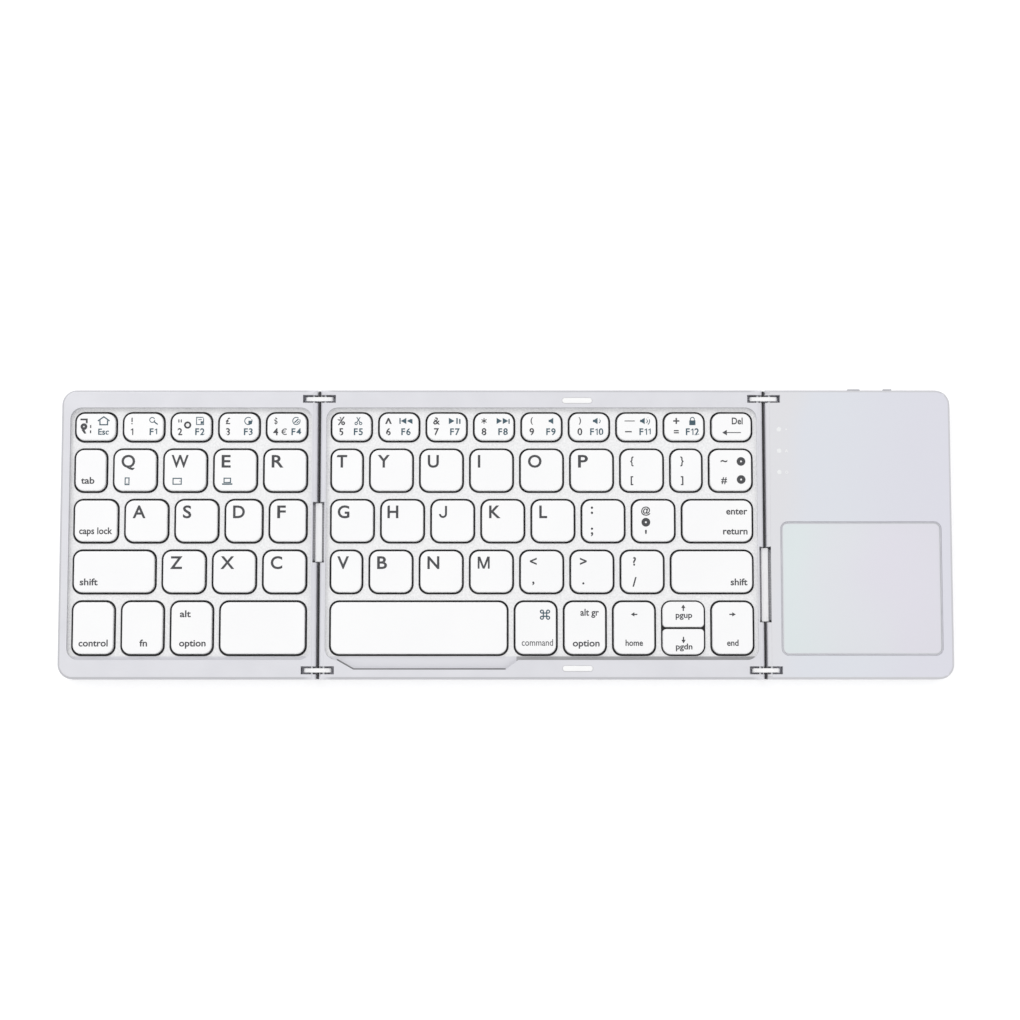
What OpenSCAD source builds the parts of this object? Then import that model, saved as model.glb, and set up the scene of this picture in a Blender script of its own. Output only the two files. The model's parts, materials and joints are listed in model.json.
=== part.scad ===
// Tri-fold pocket keyboard with a touchpad, lying open.
// Two key panels and a touchpad panel are joined by double-pivot hinges, and both
// outer panels fold over onto the middle one.
// Millimetres. The origin is on the desk, under the middle of the open keyboard:
// X runs to the right, Y to the back, Z up.

/* [Panels] */
// Height from the desk to the rim
panel_h = 8; // [7.8:0.1:9]
// Height of the feet below the case
foot_h = 0.6; // [0.4:0.1:1]
// Height where the cases meet the top frames
split_z = 4.6; // [4.3:0.1:4.9]
// Thickness of the case floor
floor_t = 1; // [0.8:0.1:1.2]
// Thickness of the case walls
wall_t = 1.4; // [1.2:0.1:1.6]
// Radius of the four outer corners
outer_corner_r = 5; // [4:0.5:8]
// Radius along the outer top edge
top_edge_r = 0.9; // [0.4:0.1:1.2]
// Radius along the outer bottom edge
bottom_edge_r = 1.5; // [0.5:0.1:2]

/* [Rims] */
// Rim beside the keys at the left end
side_rim = 3; // [2.6:0.1:6]
// Rim between a key well and the centre of a seam
seam_rim = 2.4; // [2.4:0.1:4]
// Rim behind the keys
back_rim = 6; // [5.8:0.1:9]
// Rim in front of the keys
front_rim = 6.5; // [6.4:0.1:10]
// Space between the wall of a key well and its keys
well_margin = 1.8; // [1.2:0.1:2.2]
// Radius of the corners of a key well
well_corner_r = 4; // [3:0.1:5]
// Depth of the key deck below the rim
well_depth = 1.7; // [1.6:0.05:1.9]
// Thickness of the key deck
deck_t = 1; // [0.8:0.1:1.1]
// Width of the deck's border under the rim
deck_border = 0.8; // [0.5:0.1:1]
// Width of the deck's border on the seam sides
deck_seam_border = 0.4; // [0.2:0.05:0.6]
// Slip between pieces that are laid into each other
slip = 0.05; // [0.03:0.01:0.08]

/* [Keys] */
// Width of a letter key
key_w = 14.5; // [13.5:0.05:17]
// Width of the tab key and the other narrow keys
narrow_key_w = 10.65; // [10.5:0.05:13]
// Width of the last two keys of the left home row
home_end_w = 12.45; // [11:0.05:14]
// Width of the small keys of the bottom row
modifier_w = 14.1; // [12:0.1:15.5]
// Space between keys side by side
key_gap_x = 2.55; // [1.9:0.05:3]
// Space between rows of keys
key_gap_y = 2.9; // [1.9:0.05:3.2]
// Depth of the number row
number_row_d = 9.6; // [9.5:0.1:13]
// Depth of the three letter rows
letter_row_d = 14.4; // [13:0.1:17]
// Depth of the bottom row
bottom_row_d = 18; // [17.9:0.1:21]
// Radius of the corners of a keycap
key_corner_r = 2.9; // [1.5:0.1:3.2]
// Depth of the keycap tops below the rim
cap_sink = 0.2; // [0.1:0.05:0.4]
// Height of a keycap
cap_h = 2.3; // [2:0.1:2.5]
// Thickness of a keycap's top
cap_top_t = 1; // [0.7:0.1:1.1]
// Thickness of a keycap's skirt
cap_wall = 0.9; // [0.6:0.1:0.9]
// Space between a keycap and its opening in the deck
key_clear = 0.45; // [0.4:0.05:0.85]
// How far a key can be pressed
key_travel = 1.5; // [1:0.1:1.5]
// Space between the two half-depth arrow keys
arrow_gap = 0.5; // [0.3:0.1:0.6]

/* [Key mechanism] */
// Height of the base plate's underside
plate_z = 2.6; // [2.2:0.1:2.7]
// Thickness of the base plate
plate_t = 0.4; // [0.3:0.1:0.5]
// Thickness of the switch membrane
membrane_t = 0.3; // [0.2:0.05:0.4]
// Space between the base plate and the case walls
plate_clear = 0.3; // [0.2:0.1:0.5]
// Distance of the membrane's edges inside those of the base plate
membrane_trim = 0.5; // [0.2:0.1:2]
// Width of the ribs under the base plate
rib_w = 1.2; // [0.8:0.1:2]
// Distance between those ribs
rib_pitch = 26; // [15:1:40]
// Base diameter of a rubber dome
dome_d = 3.9; // [3.4:0.1:4]
// Top diameter of a rubber dome
dome_top_d = 2.4; // [1.8:0.1:3]
// Wall of a rubber dome
dome_wall = 0.35; // [0.25:0.05:0.5]
// Space left between a rubber dome and its keycap
dome_slack = 0.1; // [0.05:0.05:0.3]
// Length of a scissor arm
scissor_l = 6.7; // [6:0.1:6.8]
// Width of the outer scissor arm
scissor_w = 8.3; // [8.1:0.1:8.4]
// Width of a scissor arm's bars
scissor_bar = 0.9; // [0.7:0.05:0.9]
// Thickness of a scissor arm
scissor_t = 0.6; // [0.4:0.05:0.7]
// Space between the inner and the outer scissor arm
scissor_clear = 0.15; // [0.1:0.01:0.2]
// Diameter of the scissor's middle pivot
scissor_pivot_d = 0.4; // [0.3:0.05:0.45]
// Space between a scissor and the skirt of its keycap
scissor_inset = 0.3; // [0.2:0.05:0.4]

/* [Hinges] */
// Height of the hinge pivots
hinge_z = 6.2; // [6:0.05:6.4]
// Space between panels that are folded over each other
fold_gap = 0.4; // [0.35:0.05:0.6]
// Space between the free edges of the two folded panels
closed_gap = 0.2; // [0.2:0.05:1]
// Width of the gap at a seam
seam_gap = 1.1; // [1.1:0.05:1.3]
// Width of the gap between two folding edges at the height of the pivots
edge_open = 0.7; // [0.2:0.1:0.9]
// Space round the flat cable
edge_clear = 0.2; // [0.1:0.02:0.3]
// Space below the turned ends of a hinge link and below a cable bridge
link_clear = 0.3; // [0.2:0.05:0.4]
// Length of a hinge slot across the seam
slot_l = 11.2; // [11:0.1:12.4]
// Width of a hinge slot
slot_w = 2.7; // [2.4:0.1:2.9]
// Distance from the front or back edge to a slot's centre
slot_inset = 3; // [2.7:0.05:3.1]
// Length of a hinge link
link_l = 9.4; // [9:0.1:10]
// Height of a hinge link
link_h = 2; // [1.6:0.1:2.4]
// Thickness of a hinge link
link_t = 1.4; // [1.2:0.1:1.8]
// Diameter of a hinge pin
pin_d = 1; // [0.8:0.05:1.2]
// Radial clearance of a hinge pin in its bores
pin_clear = 0.05; // [0.02:0.01:0.08]
// Depth of the pin bore in the outer wall of a slot
bore_out = 0.8; // [0.5:0.05:0.9]
// Depth of the pin bore in the inner wall of a slot
bore_in = 1.2; // [0.8:0.05:1.3]
// Width of the spine that joins the links along a seam
spine_w = 0.7; // [0.5:0.05:0.7]
// Height of that spine
spine_h = 1; // [0.8:0.05:1]
// Depth of the spine's top below the pivots
spine_drop = 1.8; // [1.75:0.05:1.9]
// Width of a cable bridge
bridge_w = 2.3; // [1.8:0.1:2.6]
// Height of a cable bridge
bridge_h = 2.4; // [2.3:0.05:2.5]
// Depth of a cable bridge's top below the pivots
bridge_drop = 0.2; // [0.15:0.05:0.3]
// Length of the left cable bridge
left_bridge_l = 20; // [12:1:30]
// Distance of the left bridge's middle behind the keyboard's centre line
left_bridge_y = 0.6; // [-5:0.1:5]
// Length of the right cable bridge
right_bridge_l = 25; // [12:1:30]
// Distance of the right bridge's middle in front of the centre line
right_bridge_y = 17.2; // [10:0.1:20]
// Space between a cable bridge and the ends of its notch
bridge_end_clear = 0.35; // [0.2:0.05:0.6]
// Thickness of the flat cable
cable_t = 0.2; // [0.1:0.05:0.25]
// Distance of the flat cable's edges from the ends of its bridge
cable_inset = 3; // [2:0.1:4]

/* [Thumb recess] */
// Depth of the recess in front of the right space bar
thumb_d = 3.25; // [2:0.05:3.4]
// Distance of the recess from the seam
thumb_inset = 6.4; // [6:0.1:9]
// Run of its slanted left end
thumb_slant = 5.7; // [3:0.1:7]
// Run of its right end
thumb_end = 4.3; // [2:0.1:6]
// How far it runs past the right space bar
thumb_over = 3.7; // [1:0.1:5]

/* [Fold pads] */
// Length of a fold pad
pad_l = 10.2; // [8:0.1:14]
// Width of a fold pad
pad_w = 1.9; // [1.8:0.1:2.6]
// Distance from the front or back edge to a pad's centre
pad_inset = 3.6; // [3:0.1:3.8]
// Depth of a pad's seat in the rim
pad_seat = 0.8; // [0.5:0.1:1.2]
// How far a pad stands above the rim
pad_proud = 0.25; // [0.1:0.05:0.3]

/* [Touchpad] */
// Distance of the touchpad from the seam's centre
touch_inset = 5.2; // [4.5:0.05:8]
// Rim beside the touchpad at the right end
touch_side_rim = 3.6; // [3.2:0.1:8]
// Rim in front of the touchpad
touch_front_rim = 7.9; // [7:0.1:10]
// Depth of the touchpad, front to back
touch_d = 45.6; // [36:0.1:48]
// Radius of the touchpad's corners
touch_corner_r = 2.6; // [1:0.1:4]
// Groove round the touchpad
touch_groove = 0.45; // [0.2:0.05:0.7]
// Depth of the touchpad below the cover
touch_sink = 0.1; // [0:0.05:0.3]
// Thickness of the cover plate
cover_t = 1.4; // [1.2:0.1:1.6]
// Thickness of the touchpad's circuit board
touch_board_t = 0.8; // [0.6:0.1:1]
// How far that board reaches past the opening
touch_board_lap = 1.2; // [0.8:0.1:1.25]

/* [Electronics] */
// Length of the battery
battery_l = 46; // [30:1:48]
// Depth of the battery, front to back
battery_d = 34; // [25:1:36]
// Thickness of the battery
battery_t = 3.4; // [2.8:0.1:3.5]
// Radius of the battery's corners
battery_corner_r = 1; // [0.5:0.1:2]
// Thickness of the main board
board_t = 1; // [0.8:0.1:1]
// Space between the main board and the case floor
board_lift = 1.8; // [1.5:0.1:2]
// Space between the main board and the touchpad
board_gap = 2.5; // [1.5:0.1:6]
// Height of the chips on the main board
chip_h = 0.9; // [0.5:0.1:1.2]
// Height of the lamps on the main board
lamp_h = 0.6; // [0.3:0.1:0.8]
// Diameter of the posts that carry the circuit boards
post_d = 3; // [2:0.1:4]
// Width of the charging socket
socket_w = 8.9; // [8:0.1:9.2]
// Height of the charging socket
socket_h = 3.2; // [2.6:0.05:3.2]
// How far the charging socket is sunk into the main board
socket_sink = 1.2; // [1.1:0.05:1.6]
// Depth of the charging socket
socket_d = 7; // [5.5:0.1:8]
// Thickness of the charging socket's sheet
socket_wall = 0.3; // [0.2:0.05:0.4]
// Thickness of the charging socket's back
socket_back = 1; // [0.6:0.1:1.5]
// Distance of the charging socket's mouth inside the back face
socket_recess = 0.2; // [0.1:0.05:0.4]
// Thickness of the tongue in the charging socket
tongue_t = 0.7; // [0.5:0.05:0.8]
// Width of that tongue
tongue_w = 6.5; // [5:0.1:6.7]
// Distance of the charging socket from the seam
socket_inset = 18; // [16.5:0.5:20]
// Diameter of an indicator light
light_d = 1.1; // [0.8:0.1:1.6]
// Distance between the indicator lights
light_pitch = 7.35; // [5:0.05:8]
// Distance of the indicator lights from the seam
light_inset = 5.1; // [5:0.1:8]
// Distance of the first indicator light from the back edge
light_back = 13.5; // [10:0.1:14]

/* [Switches] */
// Distance of the connect button's middle from the right end
button_inset = 32.6; // [30:0.1:36]
// Width of the connect button
button_w = 4.3; // [3:0.1:5]
// How far the connect button can be pressed
button_travel = 0.35; // [0.2:0.05:0.35]
// Distance of the switch knob's middle from the right end
knob_inset = 21.1; // [18:0.1:23]
// Width of the switch knob
knob_w = 3; // [2:0.1:4]
// How far the switch knob slides
knob_travel = 2.5; // [1.5:0.1:3]
// Height of the button and of the knob
control_h = 1.2; // [0.8:0.1:1.3]
// How far the button and the knob stand out at the back
control_proud = 0.5; // [0.3:0.1:1]
// Clearance of the button and the knob in their holes
control_clear = 0.1; // [0.05:0.01:0.15]
// Thickness of the flange behind the button and the knob
flange_t = 0.6; // [0.4:0.05:0.65]
// How far that flange reaches past the hole
flange_lap = 0.6; // [0.4:0.1:0.9]
// Height of the controls above the middle of the back wall
control_rise = 0.2; // [0:0.05:0.25]
// Depth of the switches that the controls work
switch_d = 4; // [3:0.1:5]
// How far the slide switch reaches past its knob
switch_lap = 0.5; // [0.2:0.1:1.5]

/* [Feet and screws] */
// Diameter of a foot
foot_d = 8; // [6:0.5:9]
// Depth of a foot's seat in the case
foot_seat = 0.4; // [0.2:0.05:0.5]
// Distance of the feet from the front and back edges
foot_inset_y = 12; // [10:0.5:20]
// Distance of the feet from the ends of their panel
foot_inset_x = 14; // [12:0.5:20]
// Diameter of a screw's shank
screw_d = 1.4; // [1.2:0.1:1.6]
// Diameter of a screw's head
screw_head_d = 2.6; // [2.2:0.1:2.8]
// Height of a screw's head
screw_head_h = 0.5; // [0.4:0.05:0.6]
// Length of the cross in a screw's head
cross_l = 1.7; // [1.2:0.1:1.9]
// Width of that cross
cross_w = 0.35; // [0.2:0.05:0.4]
// Depth of that cross
cross_depth = 0.25; // [0.15:0.05:0.35]
// Diameter of a screw boss
boss_d = 3.4; // [3.2:0.1:3.5]
// Space between a screw boss and the pieces beside it
boss_clear = 0.5; // [0.3:0.1:0.8]
// Distance of the screws from the front and back edges
screw_inset = 3.6; // [3.5:0.05:3.7]
// Distance of the end screws from the outer ends
screw_end_inset = 5.6; // [5.2:0.1:8]

/* [Hidden] */
$fn = 32;

// How far a cutting solid runs past the face that it cuts
past = 1;
// Colours
silver = [0.86, 0.86, 0.89];
deck_grey = [0.78, 0.78, 0.79];
white = [0.96, 0.96, 0.97];
pearl = [0.87, 0.88, 0.91];
control_grey = [0.62, 0.63, 0.66];
steel = [0.72, 0.73, 0.75];
dark = [0.16, 0.16, 0.18];

// ---- widths of the keys and the panels ----
left_span = narrow_key_w + 4 * key_w + 4 * key_gap_x;
middle_span = 2 * narrow_key_w + 7 * key_w + 8 * key_gap_x;
left_number_w = (left_span - 4 * key_gap_x) / 5;
middle_number_w = (middle_span - 8 * key_gap_x) / 9;
caps_w = left_span - 2 * key_w - 2 * home_end_w - 4 * key_gap_x;
shift_left_w = left_span - 3 * key_w - 3 * key_gap_x;
space_left_w = left_span - 3 * modifier_w - 3 * key_gap_x;
enter_w = middle_span - 7 * key_w - 7 * key_gap_x;
shift_right_w = middle_span - narrow_key_w - 6 * key_w - 7 * key_gap_x;
space_right_w = middle_span - 5 * modifier_w - 5 * key_gap_x;

left_w = side_rim + 2 * well_margin + left_span + seam_rim;
middle_w = 2 * seam_rim + 2 * well_margin + middle_span;
right_w = middle_w - left_w - closed_gap;
total_w = left_w + middle_w + right_w;
key_block_d = number_row_d + 3 * letter_row_d + bottom_row_d + 4 * key_gap_y;
panel_d = back_rim + front_rim + 2 * well_margin + key_block_d;

left_x = -total_w / 2;
left_seam = left_x + left_w;
right_seam = left_seam + middle_w;
right_x = total_w / 2;

// ---- heights ----
floor_z = foot_h + floor_t;
deck_z = panel_h - well_depth;
deck_low = deck_z - deck_t;
membrane_z = plate_z + plate_t;
switch_z = membrane_z + membrane_t;
cap_z = panel_h - cap_sink;
cap_low = cap_z - cap_h;
cap_under = cap_z - cap_top_t;
cover_z = panel_h - cover_t;

// ---- hinges ----
pivot_x = panel_h - hinge_z + fold_gap / 2;
fold_r = pivot_x - edge_open / 2;
slot_y = panel_d / 2 - slot_inset;
slot_low = hinge_z - (link_l / 2 - pivot_x) - link_clear;
bore_r = pin_d / 2 + pin_clear;
lug_t = wall_t;
spine_z = hinge_z - spine_drop - spine_h;
bridge_z = hinge_z - bridge_drop - bridge_h;
notch_low = bridge_z - link_clear;
cable_z = spine_z + spine_h + edge_clear + cable_t;
cable_reach = seam_rim + well_margin - edge_clear;
function cable_width(bridge_l) = bridge_l - 2 * cable_inset;

// ---- base plates ----
plate_y = panel_d / 2 - screw_inset - boss_d / 2 - plate_clear;
plate_seam_edge = seam_gap / 2 + wall_t + plate_clear;
plate_end_edge = wall_t + plate_clear;

// ---- key wells ----
left_well = [left_x + side_rim, left_seam - seam_rim];
middle_well = [left_seam + seam_rim, right_seam - seam_rim];
well_back = panel_d / 2 - back_rim;
well_front = -panel_d / 2 + front_rim;
keys_back = well_back - well_margin;
thumb_x = left_seam + thumb_inset;
thumb_x2 = left_seam + seam_rim + well_margin + space_right_w + thumb_over;

// ---- rows of keys, back to front: each row is a list of widths ----
row_d = [number_row_d, letter_row_d, letter_row_d, letter_row_d, bottom_row_d];
left_rows = [
    [for (i = [1:5]) left_number_w],
    [narrow_key_w, key_w, key_w, key_w, key_w],
    [caps_w, key_w, key_w, home_end_w, home_end_w],
    [shift_left_w, key_w, key_w, key_w],
    [modifier_w, modifier_w, modifier_w, space_left_w]
];
middle_rows = [
    [for (i = [1:9]) middle_number_w],
    [narrow_key_w, key_w, key_w, key_w, key_w, key_w, key_w, narrow_key_w, key_w],
    [key_w, key_w, key_w, key_w, key_w, key_w, key_w, enter_w],
    [narrow_key_w, key_w, key_w, key_w, key_w, key_w, key_w, shift_right_w],
    [space_right_w, modifier_w, modifier_w, modifier_w, modifier_w, modifier_w]
];
arrow_column = 4;

function sum_to(list, n) = n <= 0 ? 0 : list[n - 1] + sum_to(list, n - 1);
function row_y(row) = keys_back - sum_to(row_d, row) - row * key_gap_y - row_d[row] / 2;
function key_x(x0, widths, i) = x0 + sum_to(widths, i) + i * key_gap_x + widths[i] / 2;
// One key as [x, y, width, depth], from its row and its place in the row
function key_at(x0, rows, row, i) =
    [key_x(x0, rows[row], i), row_y(row), rows[row][i], row_d[row]];
function left_key(row, i) = key_at(left_well[0] + well_margin, left_rows, row, i);
function middle_key(row, i) = key_at(middle_well[0] + well_margin, middle_rows, row, i);
arrow_d = (bottom_row_d - arrow_gap) / 2;
// The two half-depth arrow keys share one place: half is 1 for up and -1 for down
function half_arrow(half) =
    let (k = middle_key(4, arrow_column))
    [k[0], k[1] + half * (arrow_d + arrow_gap) / 2, k[2], arrow_d];
left_keys = [for (r = [0:4]) for (i = [0:len(left_rows[r]) - 1]) left_key(r, i)];
middle_keys = [for (r = [0:4]) for (i = [0:len(middle_rows[r]) - 1]) middle_key(r, i)];
// The places of the mechanisms: each half arrow has its own
middle_switches = [
    for (r = [0:4]) for (i = [0:len(middle_rows[r]) - 1])
        if (r != 4 || i != arrow_column) middle_key(r, i),
    half_arrow(1), half_arrow(-1)
];

// ---- the touchpad ----
touch_w = right_w - touch_inset - touch_side_rim;
touch_x = right_seam + touch_inset + touch_w / 2;
touch_y = -panel_d / 2 + touch_front_rim + touch_d / 2;

// ---- the main board and the controls at the back ----
board_z = floor_z + board_lift;
board_top = board_z + board_t;
board_x = [right_seam + seam_rim + wall_t, right_x - touch_side_rim];
board_y = [touch_y + touch_d / 2 + board_gap,
           panel_d / 2 - screw_inset - boss_d / 2 - boss_clear];
// Chips on the main board, each as [x, y, width, depth] from the board's middle
chips = [[0, 0, 7, 7], [14, -4, 9, 12], [-14, -9, 8, 3]];
control_z = (split_z + cover_z) / 2 + control_rise;
// Inner face of the back wall, and the face of the switches in front of it
back_wall = panel_d / 2 - wall_t;
switch_y = back_wall - flange_t - button_travel - 2 * control_clear;
socket_x = right_seam + socket_inset;
socket_y = panel_d / 2 - socket_d;
socket_z = board_top - socket_sink + socket_h / 2;
button_x = right_x - button_inset;
knob_x = right_x - knob_inset;
light_x = right_seam + light_inset;
light_y = [for (i = [0:2]) panel_d / 2 - light_back - i * light_pitch];

// ---- screws and feet: [x, y] of each ----
seam_screw = slot_l / 2 + lug_t + boss_d / 2 + boss_clear;
screw_y = panel_d / 2 - screw_inset;
left_screw_x = [left_x + screw_end_inset, left_seam - seam_screw];
right_screw_x = [right_seam + seam_screw, right_x - screw_end_inset];
middle_back_x = [left_seam + seam_screw, right_seam - seam_screw];
middle_front_x = [thumb_x2 + boss_d, right_seam - seam_screw];
function mean(a) = (a[0] + a[1]) / 2;
function with_mean(a) = [a[0], mean(a), a[1]];
left_screw_at = [for (x = with_mean(left_screw_x)) for (s = [-1, 1]) [x, s * screw_y]];
right_screw_at = [for (x = right_screw_x) for (s = [-1, 1]) [x, s * screw_y]];
middle_screw_at = [
    for (x = with_mean(middle_back_x)) [x, screw_y],
    for (x = with_mean(middle_front_x)) [x, -screw_y]
];
screw_top = deck_z + well_depth / 2;
function foot_places(x0, x1) =
    [for (x = [x0 + foot_inset_x, x1 - foot_inset_x])
        for (s = [-1, 1]) [x, s * (panel_d / 2 - foot_inset_y)]];
left_feet_at = foot_places(left_x, left_seam);
middle_feet_at = foot_places(left_seam, right_seam);
right_feet_at = foot_places(right_seam, right_x);

// ================= flat outlines and profiles =================

// The corner radius of an outline with round ends: a little under half its width, so
// that its long sides and its ends are faces of their own
function pill_r(d) = (d - slip) / 2;

// A rectangle with round corners, centred
module round_rect(w, d, r) {
    square([w - 2 * r, d], center = true);
    square([w, d - 2 * r], center = true);
    for (sx = [-1, 1]) for (sy = [-1, 1])
        translate([sx * (w / 2 - r), sy * (d / 2 - r)]) circle(r);
}

// A rectangle with round corners between two corner points
module round_box_2d(x0, x1, y0, y1, r) {
    translate([(x0 + x1) / 2, (y0 + y1) / 2]) round_rect(x1 - x0, y1 - y0, r);
}

// Half of an edge's section: from the axis out to a face at reach, with its
// lower corner rounded by r_low and its upper corner by r_high
module edge_section(reach, z0, z1, r_low, r_high) {
    translate([0, z0 + r_low]) square([reach, z1 - z0 - r_low - r_high]);
    if (r_low > 0) {
        translate([0, z0]) square([reach - r_low, r_low]);
        translate([reach - r_low, z0 + r_low]) circle(r_low);
    }
    if (r_high > 0) {
        translate([0, z1 - r_high]) square([reach - r_high, r_high]);
        translate([reach - r_high, z1 - r_high]) circle(r_high);
    }
}

// The whole section of a panel from its front edge to its back edge
module panel_section(z0, z1, r_low, r_high) {
    edge_section(panel_d / 2, z0, z1, r_low, r_high);
    mirror([1, 0]) edge_section(panel_d / 2, z0, z1, r_low, r_high);
}

// ================= outer shapes =================

// Sweeps a front-to-back section along X
module along_x(x0, x1) {
    translate([x0, 0, 0]) rotate([90, 0, 90]) linear_extrude(x1 - x0) children();
}

// Sweeps a left-to-right section along Y
module along_y(y0, y1) {
    translate([0, y1, 0]) rotate([90, 0, 0]) linear_extrude(y1 - y0) children();
}

// An end panel that reaches from x0 at the seam to x1 at its round outer corners
module end_block(x0, x1, z0, z1, r_low, r_high) {
    r = outer_corner_r;
    y = panel_d / 2 - r;
    along_x(x0, x1 - r) panel_section(z0, z1, r_low, r_high);
    along_y(-y, y) translate([x1 - r, 0]) edge_section(r, z0, z1, r_low, r_high);
    translate([x1 - r, y, 0]) rotate_extrude(angle = 90)
        edge_section(r, z0, z1, r_low, r_high);
    translate([x1 - r, -y, 0]) rotate([0, 0, -90]) rotate_extrude(angle = 90)
        edge_section(r, z0, z1, r_low, r_high);
}

module left_block(z0, z1, r_low, r_high) {
    mirror([1, 0, 0])
        end_block(-left_seam + seam_gap / 2, -left_x, z0, z1, r_low, r_high);
}

module middle_block(z0, z1, r_low, r_high) {
    along_x(left_seam + seam_gap / 2, right_seam - seam_gap / 2)
        panel_section(z0, z1, r_low, r_high);
}

module right_block(z0, z1, r_low, r_high) {
    end_block(right_seam + seam_gap / 2, right_x, z0, z1, r_low, r_high);
}

// The inside of an end panel, between its walls
module end_hollow(x0, x1, z0, z1) {
    r = outer_corner_r - wall_t;
    y = panel_d / 2 - wall_t;
    translate([0, 0, z0]) linear_extrude(z1 - z0) difference() {
        round_box_2d(x0 - 2 * r, x1 - wall_t, -y, y, r);
        translate([x0 - 2 * r - past, -y - past]) square([2 * r + past, 2 * y + 2 * past]);
    }
}

module left_hollow(z0, z1) {
    mirror([1, 0, 0]) end_hollow(-left_seam + seam_gap / 2 + wall_t, -left_x, z0, z1);
}

module right_hollow(z0, z1) {
    end_hollow(right_seam + seam_gap / 2 + wall_t, right_x, z0, z1);
}

module middle_hollow(z0, z1) {
    y = panel_d / 2 - wall_t;
    translate([left_seam + seam_gap / 2 + wall_t, -y, z0])
        cube([middle_w - seam_gap - 2 * wall_t, 2 * y, z1 - z0]);
}

// ================= cuts at a seam: side is 1 right of the seam, -1 left =================

// Rounds the folding edge about its pivot
module folding_edge_cut(seam, side) {
    along_y(-panel_d / 2 - past, panel_d / 2 + past) translate([seam, 0]) scale([side, 1])
        difference() {
            translate([-past, hinge_z]) square([pivot_x + past, panel_h - hinge_z + past]);
            translate([pivot_x, hinge_z]) circle(fold_r);
        }
}

// The two slots that the hinge links lie in
module slot_cut(seam, side) {
    for (s = [-1, 1])
        translate([seam, s * slot_y, (slot_low + panel_h + past) / 2])
            scale([side, 1, 1]) translate([(slot_l / 2 - past) / 2, 0, 0])
                cube([slot_l / 2 + past, slot_w, panel_h + past - slot_low], center = true);
}

// The bores that the hinge pins turn in
module bore_cut(seam, side) {
    for (s = [-1, 1]) scale([1, s, 1])
        translate([seam + side * pivot_x, slot_y - slot_w / 2 - bore_in, hinge_z])
            rotate([-90, 0, 0]) cylinder(r = bore_r, h = bore_in + slot_w + bore_out);
}

// The notch for a cable bridge, with the way in for its cable below
module bridge_cut(seam, side, y, l) {
    half = l / 2 + bridge_end_clear;
    cable_way = cable_reach - seam_gap / 2;
    translate([seam, y, 0]) scale([side, 1, 1]) {
        translate([-past, -half, notch_low])
            cube([pivot_x + past, 2 * half, panel_h + past - notch_low]);
        translate([-past, -half, notch_low])
            cube([cable_way + past, 2 * half, deck_low - slip - notch_low]);
    }
}

module left_seam_cuts(side) {
    folding_edge_cut(left_seam, side);
    slot_cut(left_seam, side);
    bore_cut(left_seam, side);
    bridge_cut(left_seam, side, left_bridge_y, left_bridge_l);
}

module right_seam_cuts(side) {
    folding_edge_cut(right_seam, side);
    slot_cut(right_seam, side);
    bore_cut(right_seam, side);
    bridge_cut(right_seam, side, -right_bridge_y, right_bridge_l);
}

// Solid walls round the two hinge slots at a seam
module slot_lugs(seam, side, z0, z1) {
    depth = lug_t / 2 + bore_in + slot_w + wall_t / 2;
    for (s = [-1, 1]) scale([1, s, 1]) translate([seam, 0, z0]) scale([side, 1, 1])
        translate([seam_gap / 2, panel_d / 2 - wall_t / 2 - depth, 0])
            cube([slot_l / 2 + lug_t - seam_gap / 2, depth, z1 - z0]);
}

// ================= bottom cases =================

module bosses(places, z0, z1) {
    for (p = places) translate([p[0], p[1], z0]) cylinder(d = boss_d, h = z1 - z0);
}

module screw_holes(places) {
    for (p = places) translate([p[0], p[1], 0]) {
        translate([0, 0, foot_h - past])
            cylinder(d = screw_d + 2 * slip, h = screw_top - foot_h + past);
        translate([0, 0, foot_h - past])
            cylinder(d = screw_head_d + 2 * slip, h = screw_head_h + past);
    }
}

module foot_seats(places) {
    for (p = places) translate([p[0], p[1], foot_h - past])
        cylinder(d = foot_d + 2 * slip, h = foot_seat + past);
}

// Ribs that carry the base plate between x0 and x1
module plate_ribs(x0, x1) {
    n = max(2, round((x1 - x0) / rib_pitch));
    for (i = [1:n - 1])
        translate([x0 + (x1 - x0) * i / n - rib_w / 2, -plate_y, floor_z - slip])
            cube([rib_w, 2 * plate_y, plate_z - floor_z + slip]);
}

module left_bottom_case() {
    color(silver) difference() {
        union() {
            difference() {
                left_block(foot_h, split_z, bottom_edge_r, 0);
                left_hollow(floor_z, split_z + past);
            }
            slot_lugs(left_seam, -1, floor_z - slip, split_z);
            bosses(left_screw_at, floor_z - slip, split_z);
            plate_ribs(left_x, left_seam);
        }
        left_seam_cuts(-1);
        screw_holes(left_screw_at);
        foot_seats(left_feet_at);
    }
}

module middle_bottom_case() {
    color(silver) difference() {
        union() {
            difference() {
                middle_block(foot_h, split_z, bottom_edge_r, 0);
                middle_hollow(floor_z, split_z + past);
            }
            slot_lugs(left_seam, 1, floor_z - slip, split_z);
            slot_lugs(right_seam, -1, floor_z - slip, split_z);
            bosses(middle_screw_at, floor_z - slip, split_z);
            plate_ribs(left_seam, right_seam);
        }
        left_seam_cuts(1);
        right_seam_cuts(-1);
        screw_holes(middle_screw_at);
        foot_seats(middle_feet_at);
    }
}

// Posts under the corners of the main board and of the touchpad's board
module board_posts() {
    for (x = [board_x[0] + post_d, board_x[1] - post_d])
        for (y = [board_y[0] + post_d, board_y[1] - post_d])
            translate([x, y, floor_z - slip]) cylinder(d = post_d, h = board_z - floor_z + slip);
    for (sx = [-1, 1]) for (sy = [-1, 1])
        translate([touch_x + sx * (touch_w - post_d) / 2, touch_y + sy * (touch_d - post_d) / 2,
                   floor_z - slip])
            cylinder(d = post_d, h = cover_z - touch_board_t - floor_z + slip);
}

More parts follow.
